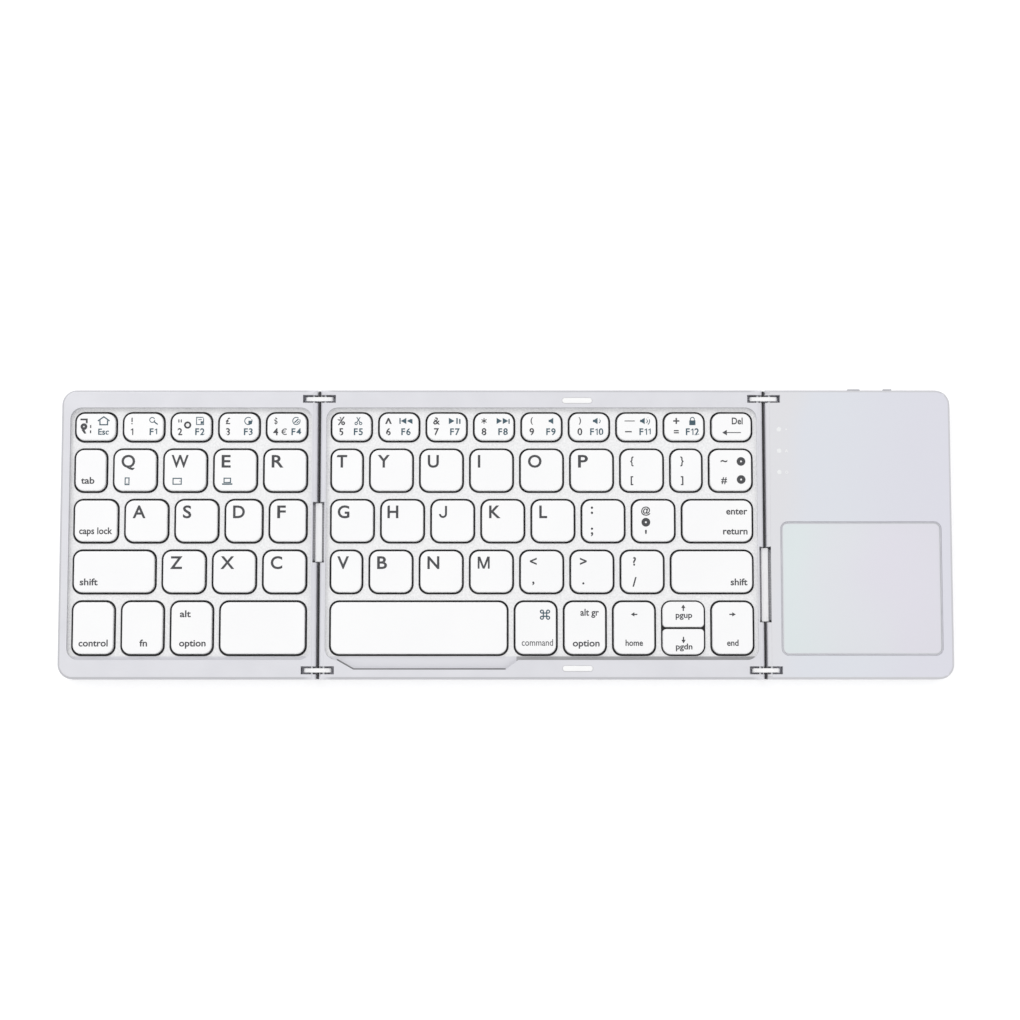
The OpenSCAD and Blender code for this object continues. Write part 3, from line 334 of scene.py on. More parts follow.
def turned_solid(centre, profile, around=48):
    """A solid of revolution about Z: point (r cos a, r sin a, z) for each (r, z) of the
    profile, which runs from the axis below to the axis above."""
    angle = np.linspace(0, 2 * np.pi, around, endpoint=False)
    r, z = np.array(profile, float).T
    x = centre[0] + r[:, None] * np.cos(angle)
    y = centre[1] + r[:, None] * np.sin(angle)
    points = np.stack([x, y, np.repeat(z[:, None], around, 1)], -1).reshape(-1, 3)
    return points, ring_faces(len(profile), around)


def joined(solids):
    """Several (points, faces) as one."""
    points, faces, count = [], [], 0
    for p, f in solids:
        points.append(p)
        faces += [[v + count for v in face] for face in f]
        count += len(p)
    return np.concatenate(points), faces


def quarter(centre_r, centre_z, radius, start, steps=5):
    """Points of a quarter circle, from the start angle on, in degrees anticlockwise."""
    a = np.radians(start + np.linspace(0, 90, steps))
    return [(centre_r + radius * math.cos(t), centre_z + radius * math.sin(t)) for t in a]


def solid_boxes(node):
    """Lowest and highest corner, in millimetres, of each separate solid in a CAD node, from
    left to right and then from the front."""
    form = merged_form(nodes[node].data)
    left, boxes = set(form.verts), []
    while left:
        stack = [left.pop()]
        found = []
        while stack:
            vert = stack.pop()
            found.append(vert.co[:])
            for edge in vert.link_edges:
                other = edge.other_vert(vert)
                if other in left:
                    left.remove(other)
                    stack.append(other)
        corners = np.array(found) / MM
        boxes.append((corners.min(0), corners.max(0)))
    form.free()
    return sorted(boxes, key=lambda b: (round(b[0][0], 2), round(b[0][1], 2)))


foot_rubber = grained_finish("foot_rubber", FOOT_GREY, (0.05, 0.052, 0.058), rough=(0.62, 0.8),
                             grain=0.12, mottle=3.0, depth=0.02)
for node in ("left_feet", "middle_feet", "right_feet"):
    discs = []
    for low, high in solid_boxes(node):
        r, top = (high[0] - low[0]) / 2, high[2]
        face = r - FOOT_EDGE
        profile = [(0, FOOT_HOLLOW), (r * HOLLOW_SHARE, FOOT_HOLLOW), (r * RING_SHARE, 0.0), (face, 0.0)]
        profile += quarter(face, FOOT_EDGE, FOOT_EDGE, -90)[1:] + [(r, top), (0, top)]
        discs.append(turned_solid((low + high)[:2] / 2, profile))
    stand_for(mesh_piece(node + "_discs", *joined(discs), foot_rubber), node)

# ---- Screws -------------------------------------------------------------------------
# Nickel-plated machine screws with cross recesses, driven up through the bosses of the
# cases into the frames.
screw_nickel = grained_finish("screw_nickel", (0.56, 0.57, 0.59), (0.5, 0.51, 0.53), metallic=1.0,
                              rough=(0.22, 0.34), grain=0.08, depth=0.004)
for node in ("left_screws", "middle_screws", "right_screws"):
    dress(node, screw_nickel)

# ---- Key mechanism ------------------------------------------------------------------
# Under the keys: a base plate of zinc-plated steel, and on it the switch film, printed
# polyester coloured near black as painted shade, to darken the gaps round the keys.
plate_zinc = grained_finish("plate_zinc", (0.42, 0.43, 0.45), (0.36, 0.37, 0.39), metallic=0.9,
                            rough=(0.3, 0.45), grain=0.4, mottle=6.0)
switch_film = grained_finish("switch_film", (0.10, 0.10, 0.105), (0.12, 0.12, 0.126), rough=(0.3, 0.45),
                             grain=0.3, mottle=4.0, depth=0.004)
for side in ("left", "middle"):
    dress(side + "_base_plate", plate_zinc)
    dress(side + "_membrane", switch_film)

# ---- Key decks ----------------------------------------------------------------------
# Thin lattices with one opening for each key, laid under the frames' rims, painted pale on
# top. The sides of the openings are grey, a painted shade that darkens the gaps round the
# keys, and the edges get a painted highlight. In front of the keys they are silver, as the
# floor of the thumb recess, and painted shade grey beside it.
DECK_WHITE = (0.92, 0.92, 0.925)
DECK_SHADE_GREY = (0.40, 0.40, 0.41)
FRAME_SILVER = (0.73, 0.73, 0.77)
FRONT_STRIP = -41.5
RECESS_END = 3.6
PAINT_EDGE = 0.05


def colour_of(made):
    """A material's node tree, and the socket that its colour comes from."""
    tree = made.node_tree
    return tree, tree.nodes["Principled BSDF"].inputs["Base Color"].links[0].from_socket


def repaint(tree, surface):
    """Gives a material another colour socket."""
    feed(tree, tree.nodes["Principled BSDF"], {"Base Color": surface})


def split_finish(made, axis, place, low_colour, high_colour=None):
    """Paints the part of a finish that lies below a place along an axis in another colour, and
    the rest too, if a second one is given: the piece's own coordinate, less the place, mapped
    over a tenth of a millimetre. Gives back the mixed colour's socket."""
    tree, surface = colour_of(made)
    above = ranged(tree, own_axes(tree)[axis], (place - PAINT_EDGE) * MM, (place + PAINT_EDGE) * MM)
    split = mixed(tree, above, low_colour, high_colour or surface)
    if high_colour is None:
        repaint(tree, split)
    return split


for side in ("left", "middle"):
    deck_paint = grained_finish(side + "_deck_paint", DECK_WHITE, (0.82, 0.82, 0.83), rough=(0.42, 0.56),
                                grain=0.18, mottle=0.7, edge=0.5, side=DECK_SHADE_GREY)
    # The front strip: silver, but beside the thumb recess the painted shade grey.
    strip = FRAME_SILVER
    if side == "middle":
        strip = split_finish(deck_paint, "X", RECESS_END, FRAME_SILVER, DECK_SHADE_GREY)
    split_finish(deck_paint, "Y", FRONT_STRIP, strip)
    softened(side + "_key_deck", 0.12, deck_paint)

# ---- Top frames ---------------------------------------------------------------------
# Anodised rims round the key wells, with the lugs for the hinges. The middle one has a
# thumb recess in front of the right space bar and two seats for the pads.
# Painted shade: upright faces of the rims are darker, except within the clear distance of the seams.
frame_silver = grained_finish("frame_silver", FRAME_SILVER, (0.70, 0.70, 0.74), metallic=0.2,
                              rough=(0.32, 0.44), side=(0.54, 0.54, 0.57), clear=1.9)
for side in ("left", "middle"):
    softened(side + "_top_frame", 0.2, frame_silver)

# ---- Recess shadow line -------------------------------------------------------------
# A thin grey bead on the deck along the front wall of the thumb recess: a painted shadow at
# the foot of the wall, in the joint between deck and frame.
SHADOW_BEAD_GREY = (0.28, 0.28, 0.29)
SHADOW_ROUTE = [(-57.25, -42.75), (-51.55, -46.0), (-0.1, -46.0)]
SHADOW_SECTION = [(0.5, 0.0), (0.5, 0.06), (0.4, 0.12), (0.13, 0.12), (0.03, 0.06), (0.03, 0.0)]


def box_mm(node):
    """The lowest and the highest corner of a CAD node in millimetres."""
    return [np.array(corner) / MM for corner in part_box(node)]


def closed_rings(rings):
    """One surface from rings of points, closed by one face at each end."""
    around, count = len(rings[0]), len(rings) * len(rings[0])
    ends = [list(range(around))[::-1], list(range(count - around, count))]
    return np.concatenate(rings), ring_faces(len(rings), around) + ends


def bead_solid(route, section, z):
    """A bead beside a route, to its left: at each corner the section's (distance, height)
    points lie on the mitre, the sum of the two legs' left normals over one plus their dot
    product."""
    route = np.array(route, float)
    legs = np.diff(route, axis=0)
    legs /= np.linalg.norm(legs, axis=1)[:, None]
    left = np.column_stack([-legs[:, 1], legs[:, 0]])
    before, after = np.vstack([left[:1], left]), np.vstack([left, left[-1:]])
    mitre = (before + after) / (1 + (before * after).sum(1))[:, None]
    return closed_rings([[(*(corner + reach * across), z + rise) for reach, rise in section]
                         for corner, across in zip(route, mitre)])


gasket_foam = grained_finish("gasket_foam", SHADOW_BEAD_GREY, (0.24, 0.24, 0.25), rough=(0.7, 0.85),
                             grain=0.08, mottle=2.0)
bead = bead_solid(SHADOW_ROUTE, SHADOW_SECTION, box_mm("middle_key_deck")[1][2])
shadow_bead_piece = mesh_piece("recess_gasket", *bead, gasket_foam)
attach(shadow_bead_piece, body_of("middle_key_deck"))

# ---- Keycaps ------------------------------------------------------------------------
# Hollow caps of satin white plastic with a soft upper edge and a faint dish. The caps of a
# row that are alike move together.
KEY_WHITE = (0.955, 0.955, 0.96)
CAP_WALL = 0.9
CAP_TOP = 1.0
CAP_DRAFT = 0.12
CAP_FILLET = 0.38
CAP_FOOT = 0.1
CAP_DISH = 0.09
DISH_SHARES = (0.92, 0.75, 0.5, 0.25, 0.02)
KEY_CORNER = 2.9
TIGHT_CORNER = 1.3
CAP_EASE = 0.15


def rounded_outline(low, high, corners, inset, steps):
    """Points round a rectangle with round corners: for each corner, a quarter circle of its
    radius less the inset about a centre that lies a radius in from the corner. corners are
    the radii at right back, left back, left front and right front."""
    points = []
    signs = [(1, 1), (-1, 1), (-1, -1), (1, -1)]
    for turn, ((sx, sy), radius) in enumerate(zip(signs, corners)):
        r = max(radius, inset + 0.08)
        cx = (high[0] if sx > 0 else low[0]) - sx * r
        cy = (high[1] if sy > 0 else low[1]) - sy * r
        a = np.radians(90 * turn + np.linspace(0, 90, steps))
        points.append(np.stack([cx + (r - inset) * np.cos(a), cy + (r - inset) * np.sin(a)], -1))
    return np.concatenate(points)


def outline_rings(low, high, corners, path, steps):
    """Rings round a rectangle with round corners, one for each (inset, z) of a path."""
    rings = []
    for inset, z in path:
        flat = rounded_outline(low, high, corners, inset, steps)
        rings.append(np.column_stack([flat, np.full(len(flat), z)]))
    return rings


def cap_top_z(low, high, x, y):
    """Height of a cap's dished top: the rim's height less the dish times one minus the
    square of how far the point lies from the middle towards the rim."""
    half = (np.array(high) - np.array(low))[:2] / 2 - CAP_DRAFT - CAP_FILLET
    middle = (np.array(high) + np.array(low))[:2] / 2
    reach = np.maximum(np.abs(x - middle[0]) / half[0], np.abs(y - middle[1]) / half[1])
    return high[2] - CAP_DISH * (1 - np.clip(reach, 0, 1) ** 2)


def cap_solid(low, high, corners):
    """A keycap as rings round its outline: up the inside of the skirt, round its foot, up the
    drafted side, over the quarter-round upper edge and in over the dished top. The outline
    keeps a slight ease inside the box, but for the paired arrow keys."""
    ease = np.array([CAP_EASE, CAP_EASE, 0]) if min(corners) > TIGHT_CORNER else np.zeros(3)
    low, high = low + ease, high - ease
    foot, top = low[2], high[2]
    side = top - CAP_FILLET
    path = [(CAP_WALL, top - CAP_TOP), (CAP_WALL, foot), (CAP_FOOT, foot), (0.0, foot + CAP_FOOT),
            (CAP_DRAFT, side)]
    path += [(CAP_DRAFT + CAP_FILLET - r, z) for r, z in quarter(0, side, CAP_FILLET, 0, 6)[1:]]
    rings = outline_rings(low, high, corners, path, 7)
    middle = (low + high)[:2] / 2
    rim = rings[-1][:, :2] - middle
    for share in DISH_SHARES:
        z = np.full(len(rim), top - CAP_DISH * (1 - share ** 2))
        rings.append(np.column_stack([middle + rim * share, z]))
    return closed_rings(rings)


key_white = grained_finish("key_white", KEY_WHITE, (0.94, 0.94, 0.948), rough=(0.36, 0.46), grain=0.14,
                           mottle=20.0, depth=0.006)
key_nodes = [n for n in nodes if n.startswith("key")]
key_boxes = {}
for node in key_nodes:
    back = TIGHT_CORNER if node == "key_arrow_down" else KEY_CORNER
    front = TIGHT_CORNER if node == "key_arrow_up" else KEY_CORNER
    key_boxes[node] = solid_boxes(node)
    caps = joined([cap_solid(low, high, [back, back, front, front]) for low, high in key_boxes[node]])
    stand_for(mesh_piece(node + "_caps", *caps, key_white), node)

# ---- Domes and scissors -------------------------------------------------------------
# A hollow silicone dome springs each key back, and crossed acetal arms keep it level. They
# stand on the switch film.
DOME_WALL = 0.35
DOME_CROWN = 0.7
DOME_EDGE = 0.15
DOME_TOP_SHARE = 0.615


def dome_solid(low, high):
    """A bell as a solid of revolution, open below: its wall's radius goes from the foot to the
    top on the smooth step 3t^2 - 2t^3, where t is the share of the height, and its inside
    follows a wall's thickness within."""
    foot_r, foot, top = (high[0] - low[0]) / 2, low[2], high[2]
    top_r = foot_r * DOME_TOP_SHARE
    t = np.linspace(0, 1, 8)
    r = foot_r + (top_r - foot_r) * t ** 2 * (3 - 2 * t)
    inner = np.column_stack([r - DOME_WALL, foot + (top - DOME_CROWN - foot) * t])[::-1]
    outer = np.column_stack([r, foot + DOME_WALL + (top - DOME_EDGE - foot - DOME_WALL) * t])
    edge = quarter(top_r - DOME_EDGE, top - DOME_EDGE, DOME_EDGE, 0, 3)[1:]
    profile = [(0, top - DOME_CROWN), *inner, (foot_r, foot), *outer, *edge, (0, top)]
    return turned_solid((low + high)[:2] / 2, profile, around=24)


def under_caps(node, x, y):
    """True if the point lies within one of the key node's caps."""
    return any(low[0] < x < high[0] and low[1] < y < high[1] for low, high in key_boxes[node])


def arms_under(node, form):
    """Points and faces of the arms under a key node's caps: the faces of the copied arms whose
    middles are under a cap."""
    chosen = [f for f in form.faces if under_caps(node, *(f.calc_center_median() / MM)[:2])]
    order = {}
    faces = [[order.setdefault(vert, len(order)) for vert in face.verts] for face in chosen]
    return [vert.co / MM for vert in order], faces


dome_silicone = grained_finish("dome_silicone", (0.30, 0.30, 0.31), (0.26, 0.26, 0.27),
                               rough=(0.45, 0.6), grain=0.1, mottle=2.0)
scissor_acetal = grained_finish("scissor_acetal", (0.10, 0.10, 0.11), (0.08, 0.08, 0.09),
                                rough=(0.35, 0.5), grain=0.1, mottle=2.0)
for side in ("left", "middle"):
    domes, arms = side + "_domes", side + "_scissors"
    bells = solid_boxes(domes)
    film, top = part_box(domes)[0][2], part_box(domes)[1][2]
    form = merged_form(nodes[arms].data, whole_faces=True)
    presses = {joint["child"]: joint for joint in frame["joints"] if joint["parent"] == side + "_panel"}
    for node in key_nodes:
        press = presses.get(body_of(node))
        if press is None:
            continue
        own = [dome_solid(low, high) for low, high in bells if under_caps(node, *(low + high)[:2] / 2)]
        bell_piece = mesh_piece(node + "_domes", *joined(own), dome_silicone)
        arm_piece = mesh_piece(node + "_scissors", *arms_under(node, form), scissor_acetal, smooth=False)
        for piece, cad in ((bell_piece, domes), (arm_piece, arms)):
            stand_for(piece, cad)
            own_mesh(piece)
    form.free()

# ---- Legends ------------------------------------------------------------------------
# Pad-printed on the caps in dark grey, with the second functions of the number row in a
# slate blue: letters at the upper left, words near the front edge.
INK_GREY = (0.045, 0.046, 0.052)
INK_SLATE = (0.04, 0.085, 0.115)
INK_LIFT = 0.012
LETTER_H = 4.1
LETTER_TOP = 2.1
LETTER_INSETS = {"T": 1.75, "V": 2.25, "G": 2.3, "H": 2.15}
LETTER_WIDTHS = {"E": 1.18, "F": 1.2, "R": 1.15, "S": 1.12, "P": 1.2, "W": 0.88, "B": 1.1}
WORD_H = 2.2
DIGIT_H = 2.3
LABEL_H = 2.2
LABEL_SPACE = 0.16
LETTER_BOLD = 0.02
LABEL_BOLD = 0.024
WORD_BOLD = 0.022
MARK_BACK = 2.8
MARK_FRONT = 3.1
SLIM = 0.3
STOUT = 0.42

ink_grey, ink_slate, ink_white = [
    grained_finish(name, colour, shade, rough=(0.5, 0.6), grain=0.1, depth=0.002)
    for name, colour, shade in (("ink_grey", INK_GREY, (0.055, 0.056, 0.062)),
                                ("ink_slate", INK_SLATE, (0.05, 0.10, 0.13)),
                                ("ink_white", (0.9, 0.9, 0.9), (0.86, 0.86, 0.87)))]


def text_shape(text, bold=0.0):
    """Flat outline of a text as (points, faces), with its baseline's left end at the origin."""
    curve = bpy.data.curves.new("legend", "FONT")
    curve.body = text
    curve.size = 1.0
    curve.offset = bold
    curve.resolution_u = 4
    holder = bpy.data.objects.new("legend", curve)
    bpy.context.scene.collection.objects.link(holder)
    bpy.context.view_layer.update()
    mesh = bpy.data.meshes.new_from_object(holder)
    points = np.array([v.co[:2] for v in mesh.vertices], float).reshape(-1, 2)
    faces = [list(face.vertices) for face in mesh.polygons]
    bpy.data.objects.remove(holder)
    bpy.data.curves.remove(curve)
    bpy.data.meshes.remove(mesh)
    return points, faces


CAPITAL = float(text_shape("H")[0][:, 1].max())


def moved(shape, x, y):
    """A flat shape shifted by x and y."""
    return shape[0] + [x, y], shape[1]


def polygon(*corners):
    """A flat polygon with the given corners, turned anticlockwise by the sign of its area."""
    x, y = np.array(corners, float).T
    area = np.sum(x * np.roll(y, -1) - y * np.roll(x, -1))
    order = list(range(len(corners)))
    return np.array(corners, float), [order if area > 0 else order[::-1]]


def bar(x0, y0, x1, y1, w):
    """A straight stroke of width w: its ends moved sideways by half the width."""
    along = np.array([x1 - x0, y1 - y0], float)
    side = np.array([-along[1], along[0]]) * (w / 2 / np.hypot(*along))
    a, b = np.array([x0, y0]), np.array([x1, y1])
    return np.array([a - side, b - side, b + side, a + side]), [[0, 1, 2, 3]]


def arc(cx, cy, r, w, start=0, sweep=360, steps=24):
    """A stroke of width w along a circle of radius r: two arcs at r - w/2 and r + w/2."""
    a = np.radians(start + np.linspace(0, sweep, steps))
    inner = np.stack([cx + (r - w / 2) * np.cos(a), cy + (r - w / 2) * np.sin(a)], -1)
    outer = np.stack([cx + (r + w / 2) * np.cos(a), cy + (r + w / 2) * np.sin(a)], -1)
    i = np.arange(steps - 1)
    quads = np.stack([i, i + steps, i + steps + 1, i + 1], -1)
    return np.concatenate([inner, outer]), quads.tolist()


def frame_mark(x0, y0, x1, y1, w):
    """A rectangle drawn with strokes of width w."""
    h = w / 2
    return joined([bar(x0 - h, y0, x1 + h, y0, w), bar(x0 - h, y1, x1 + h, y1, w),
                   bar(x0, y0 + h, x0, y1 - h, w), bar(x1, y0 + h, x1, y1 - h, w)])


def triangle(base_x, tip_x, half):
    """A triangle with an upright base at one x and its tip at another."""
    return polygon((base_x, -half), (tip_x, 0), (base_x, half))


def arrow(length, head, stroke, degrees):
    """A straight arrow about the origin that points at an angle."""
    a = math.radians(degrees)
    neck = length / 2 - head
    points, faces = joined([bar(-length / 2, 0, neck + 0.05, 0, stroke),
                            polygon((neck, -head * 0.6), (length / 2, 0), (neck, head * 0.6))])
    turn = np.array([[math.cos(a), math.sin(a)], [-math.sin(a), math.cos(a)]])
    return points @ turn, faces


# Signs drawn with strokes, in units of their height
DRAWN_SIGNS = {text: joined(strokes) for text, strokes in {
    "M": [bar(0.08, 0, 0.08, 1, 0.15), bar(0.92, 0, 0.92, 1, 0.15),
          polygon((0.02, 1), (0.21, 1), (0.58, 0), (0.42, 0)),
          polygon((0.98, 1), (0.79, 1), (0.42, 0), (0.58, 0))],
    "J": [bar(0.56, 0.3, 0.56, 1, 0.17), arc(0.31, 0.32, 0.25, 0.17, 180, 180, 14)],
    "1": [bar(0.32, 0, 0.32, 1, 0.16), bar(0.02, 0.74, 0.32, 0.93, 0.13)],
    "!": [bar(0.09, 0.34, 0.09, 1, 0.18), bar(0.09, 0, 0.09, 0.18, 0.19)],
    "\"": [bar(0.07, 0.6, 0.07, 1, 0.15), bar(0.37, 0.6, 0.37, 1, 0.15)],
    "*": [bar(-0.4 * math.cos(a), -0.4 * math.sin(a), 0.4 * math.cos(a), 0.4 * math.sin(a), 0.13)
          for a in np.radians((30, 90, 150))],
    "$": [arc(0.3, 0.72, 0.21, 0.14, 20, 250), arc(0.3, 0.29, 0.21, 0.14, 200, 250),
          bar(0.3, -0.08, 0.3, 1.08, 0.1)],
    "€": [arc(0.46, 0.5, 0.42, 0.15, 55, 250), bar(-0.08, 0.61, 0.55, 0.61, 0.11),
          bar(-0.08, 0.39, 0.5, 0.39, 0.11)],
}.items()}


def glyph(text, bold):
    """One sign or capital in units of the height of a capital, its left edge at zero."""
    if text in DRAWN_SIGNS:
        points, faces = DRAWN_SIGNS[text]
    else:
        points, faces = text_shape(text, bold)
        points = points / CAPITAL
    return points - [points[:, 0].min(), 0], faces


def letter(text, x, y):
    """A capital with its left edge at x and its foot at y."""
    points, faces = glyph(text, LETTER_BOLD)
    return points * [LETTER_H * LETTER_WIDTHS.get(text, 1), LETTER_H] + [x, y], faces


def label(text, height, x, y):
    """Signs side by side, a share of their height apart, about the middle x, their feet at y."""
    shapes, pen = [], 0.0
    for one in text:
        points, faces = glyph(one, LABEL_BOLD)
        shapes.append((points + [pen, 0], faces))
        pen += np.ptp(points[:, 0]) + LABEL_SPACE
    points, faces = joined(shapes)
    return (points - [(pen - LABEL_SPACE) / 2, 0]) * height + [x, y], faces


def word(text, height, x, y, align, width=None, bold=WORD_BOLD):
    """A text whose capitals are that high and, if a width is given, as wide as that, with its
    left end, middle or right end at x and its baseline at y, in millimetres."""
    points, faces = text_shape(text, bold)
    points = points * (height / CAPITAL)
    if width:
        points[:, 0] *= width / np.ptp(points[:, 0])
    low, high = points[:, 0].min(), points[:, 0].max()
    start = {"left": low, "middle": (low + high) / 2, "right": high}[align]
    return points + [x - start, y], faces


def sign(text, size, x, y):
    """A sign about its own middle at x and y, its longer side as long as size."""
    points, faces = glyph(text, WORD_BOLD)
    low, high = points.min(0), points.max(0)
    return (points - (low + high) / 2) * (size / (high - low).max()) + [x, y], faces


def block(x0, y0, x1, y1):
    """A filled rectangle."""
    return polygon((x0, y0), (x1, y0), (x1, y1), (x0, y1))


def upright(x, w):
    """An upright stroke, as tall as the signs for playing."""
    return bar(x, -1.0, x, 1.0, w)


def speaker(x):
    """A loudspeaker: a small block and a cone that opens to the right."""
    return joined([block(x, -0.4, x + 0.5, 0.4),
                   polygon((x + 0.45, -0.4), (x + 1.6, -1.1), (x + 1.6, 1.1), (x + 0.45, 0.4))])


ICONS = {name: joined(strokes) for name, strokes in {
    "phone": [frame_mark(-0.65, -1.15, 0.65, 1.15, 0.36), bar(-0.2, -0.7, 0.2, -0.7, 0.25)],
    "tablet": [frame_mark(-1.4, -1.0, 1.4, 1.0, 0.36), bar(0.95, -0.2, 0.95, 0.2, 0.25)],
    "laptop": [frame_mark(-1.1, -0.4, 1.1, 1.05, 0.36), bar(-1.75, -0.95, 1.75, -0.95, 0.5)],
    "home": [bar(-2.0, 0.0, 0.1, 1.5, STOUT), bar(-0.1, 1.5, 2.0, 0.0, STOUT),
             bar(-1.3, 0.2, -1.3, -1.45, STOUT), bar(1.3, 0.2, 1.3, -1.45, STOUT),
             bar(-1.5, -1.3, 1.5, -1.3, STOUT)],
    "search": [arc(-0.45, 0.35, 0.85, SLIM), bar(0.1, -0.2, 1.45, -1.2, STOUT)],
    "select": [frame_mark(-1.2, -1.25, 1.2, 1.25, SLIM), bar(-0.6, 0.45, 0.6, 0.45, SLIM),
               block(0.2, -1.0, 1.0, -0.1)],
    "copy": [arc(0, 0, 1.25, SLIM), block(0.0, -1.1, 1.2, 0.1)],
    "paste": [arc(0, 0, 1.25, SLIM), bar(-0.7, -0.6, 0.7, 0.7, STOUT),
              bar(0.05, -0.8, 0.8, -0.1, SLIM)],
    "cut": [arc(-0.75, -0.85, 0.42, SLIM), arc(0.75, -0.85, 0.42, SLIM),
            bar(-0.55, -0.5, 0.6, 1.3, SLIM), bar(0.55, -0.5, -0.6, 1.3, SLIM)],
    "back": [upright(-2.05, STOUT), triangle(0.1, -1.8, 1.05), triangle(2.2, 0.3, 1.05)],
    "play": [triangle(-2.1, -0.15, 1.1), upright(0.7, 0.5), upright(1.65, 0.5)],
    "next": [triangle(-2.2, -0.3, 1.05), triangle(-0.1, 1.8, 1.05), upright(2.05, STOUT)],
    "mute": [speaker(-0.8)],
    "quieter": [speaker(-1.3), arc(0.35, 0, 0.85, SLIM, -55, 110, 10)],
    "louder": [speaker(-1.7), arc(-0.05, 0, 0.85, SLIM, -55, 110, 10),
               arc(-0.05, 0, 1.6, SLIM, -50, 100, 12)],
    "loops": [bar(-1.05, k, 1.05, k, STOUT) for k in (-0.55, 0.55)]
             + [bar(k, -1.05, k, 1.05, STOUT) for k in (-0.55, 0.55)]
             + [arc(1.05 * x, 1.05 * y, 0.5, STOUT, start, 270, 16)
                for x, y, start in ((1, 1, -90), (-1, 1, 0), (-1, -1, 90), (1, -1, 180))],
    "lock": [block(-1.05, -1.45, 1.05, 0.2), arc(0, 0.55, 0.68, SLIM, 0, 180, 14),
             bar(-0.68, 0.1, -0.68, 0.6, SLIM), bar(0.68, 0.1, 0.68, 0.6, SLIM)],
}.items()}

# The number keys from left to right: upper sign and its size, lower sign, icon, function,
# and the distances of the signs from the key's left edge and of the function from its
# right edge. The last key has Del and an arrow.
NUMBER_KEYS = {
    "keys_left_numbers": [
        ("¬", 2.5, "`", "home", "Esc", 2.8, 4.2), ("!", 2.3, "1", "search", "F1", 2.9, 3.5),
        ("\"", 1.2, "2", "select", "F2", 3.0, 3.9), ("£", 2.3, "3", "copy", "F3", 3.1, 3.7),
        ("$", 2.5, "4", "paste", "F4", 3.1, 3.6)],
    "keys_middle_numbers": [
        ("%", 2.9, "5", "cut", "F5", 3.3, 4.5), ("^", 2.3, "6", "back", "F6", 3.2, 4.45),
        ("&", 2.5, "7", "play", "F7", 3.4, 3.95), ("*", 2.0, "8", "next", "F8", 3.4, 3.75),
        ("(", 2.6, "9", "mute", "F9", 3.5, 3.6), (")", 2.6, "0", "quieter", "F10", 3.7, 4.2),
        ("_", 3.4, "-", "louder", "F11", 4.5, 3.9), ("+", 2.1, "=", "lock", "F12", 4.2, 3.95), None],
}
LETTER_KEYS = {
    "keys_left_upper": "QWER", "keys_left_home": "ASDF", "keys_left_lower": "ZXC",
    "keys_middle_upper": "TYUIOP", "keys_middle_home": "GHJKL", "keys_middle_lower": "VBNM",
}
# Keys with an upper and a lower sign: each as text, size, distance from the left edge, and
# distance of its middle from the back edge, if positive, or else from the front edge
SIGN_KEYS = {
    "keys_middle_upper": {6: [("{", 3.4, 3.9, 4.2), ("[", 3.1, 3.9, -3.6)],
                          7: [("}", 3.4, 3.9, 4.2), ("]", 3.1, 3.9, -3.6)],
                          8: [("~", 2.3, 5.0, 4.1), ("#", 2.4, 5.0, -3.6)]},
    "keys_middle_home": {5: [(":", 2.6, 3.45, 3.6), (";", 3.0, 3.45, -3.4)],
                         6: [("@", 3.2, 4.7, 3.9), ("'", 1.4, 4.7, -3.4)]},
    "keys_middle_lower": {4: [("<", 2.5, 4.4, 3.7), (",", 1.3, 4.4, -3.2)],
                          5: [(">", 2.5, 4.3, 3.7), (".", 0.75, 4.3, -3.2)],
                          6: [("?", 3.0, 4.6, 3.7), ("/", 3.3, 4.6, -3.7)]},
}
# Dark discs with a pale middle: distance from the left edge and from the back edge, radius,
# and the middle's share of it
DISC_KEYS = {
    "keys_left_numbers": {0: [(2.8, 4.75, 1.15, 0.22)], 2: [(5.6, 4.2, 1.25, 0.5)]},
    "keys_middle_upper": {8: [(10.8, 4.2, 1.5, 0.22), (10.8, 10.4, 1.5, 0.22)]},
    "keys_middle_home": {6: [(4.7, 7.7, 1.5, 0.22)]},
}
# Words as text, capital height, width, end that is placed, its inset, baseline over the front
WORD_KEYS = {
    "key_tab": [("tab", WORD_H, 4.6, "left", 2.1, 2.6)],
    "key_caps_lock": [("caps lock", WORD_H, 11.3, "left", 1.8, 2.7)],
    "key_shift_left": [("shift", WORD_H, 6.1, "left", 2.3, 2.6)],
    "key_enter": [("enter", WORD_H, 7.2, "right", 1.7, 9.4), ("return", WORD_H, 8.3, "right", 1.7, 2.6)],
    "key_shift_right": [("shift", WORD_H, 5.7, "right", 1.9, 2.6)],
    "key_arrow_left": [("home", 2.0, 5.9, "middle", 0, 3.0)],
    "key_arrow_right": [("end", 2.0, 3.9, "middle", 0, 3.0)],
    "key_arrow_up": [("pgup", 1.9, 5.6, "middle", 0.2, 3.2)],
    "key_arrow_down": [("pgdn", 1.9, 5.6, "middle", 0.2, 1.8)],
}
MODIFIER_KEYS = {
    "keys_left_modifiers": [
        [("control", WORD_H, 9.9, "left", 2.25, 2.8)], [("fn", WORD_H, 2.6, "left", 6.2, 2.8)],
        [("option", WORD_H, 9.0, "left", 2.95, 2.8), ("alt", WORD_H, 3.7, "left", 3.1, 12.7)]],
    "keys_middle_modifiers": [
        [("command", WORD_H, 10.6, "left", 2.3, 3.0)],
        [("option", WORD_H, 9.1, "left", 2.9, 2.8), ("alt gr", WORD_H, 6.3, "right", 2.3, 13.2)]],
}
# Arrows as direction in degrees and height over the front edge
ARROWS = {"key_arrow_left": (180, 13.6), "key_arrow_right": (0, 13.6),
          "key_arrow_up": (90, 6.6), "key_arrow_down": (270, 4.9)}


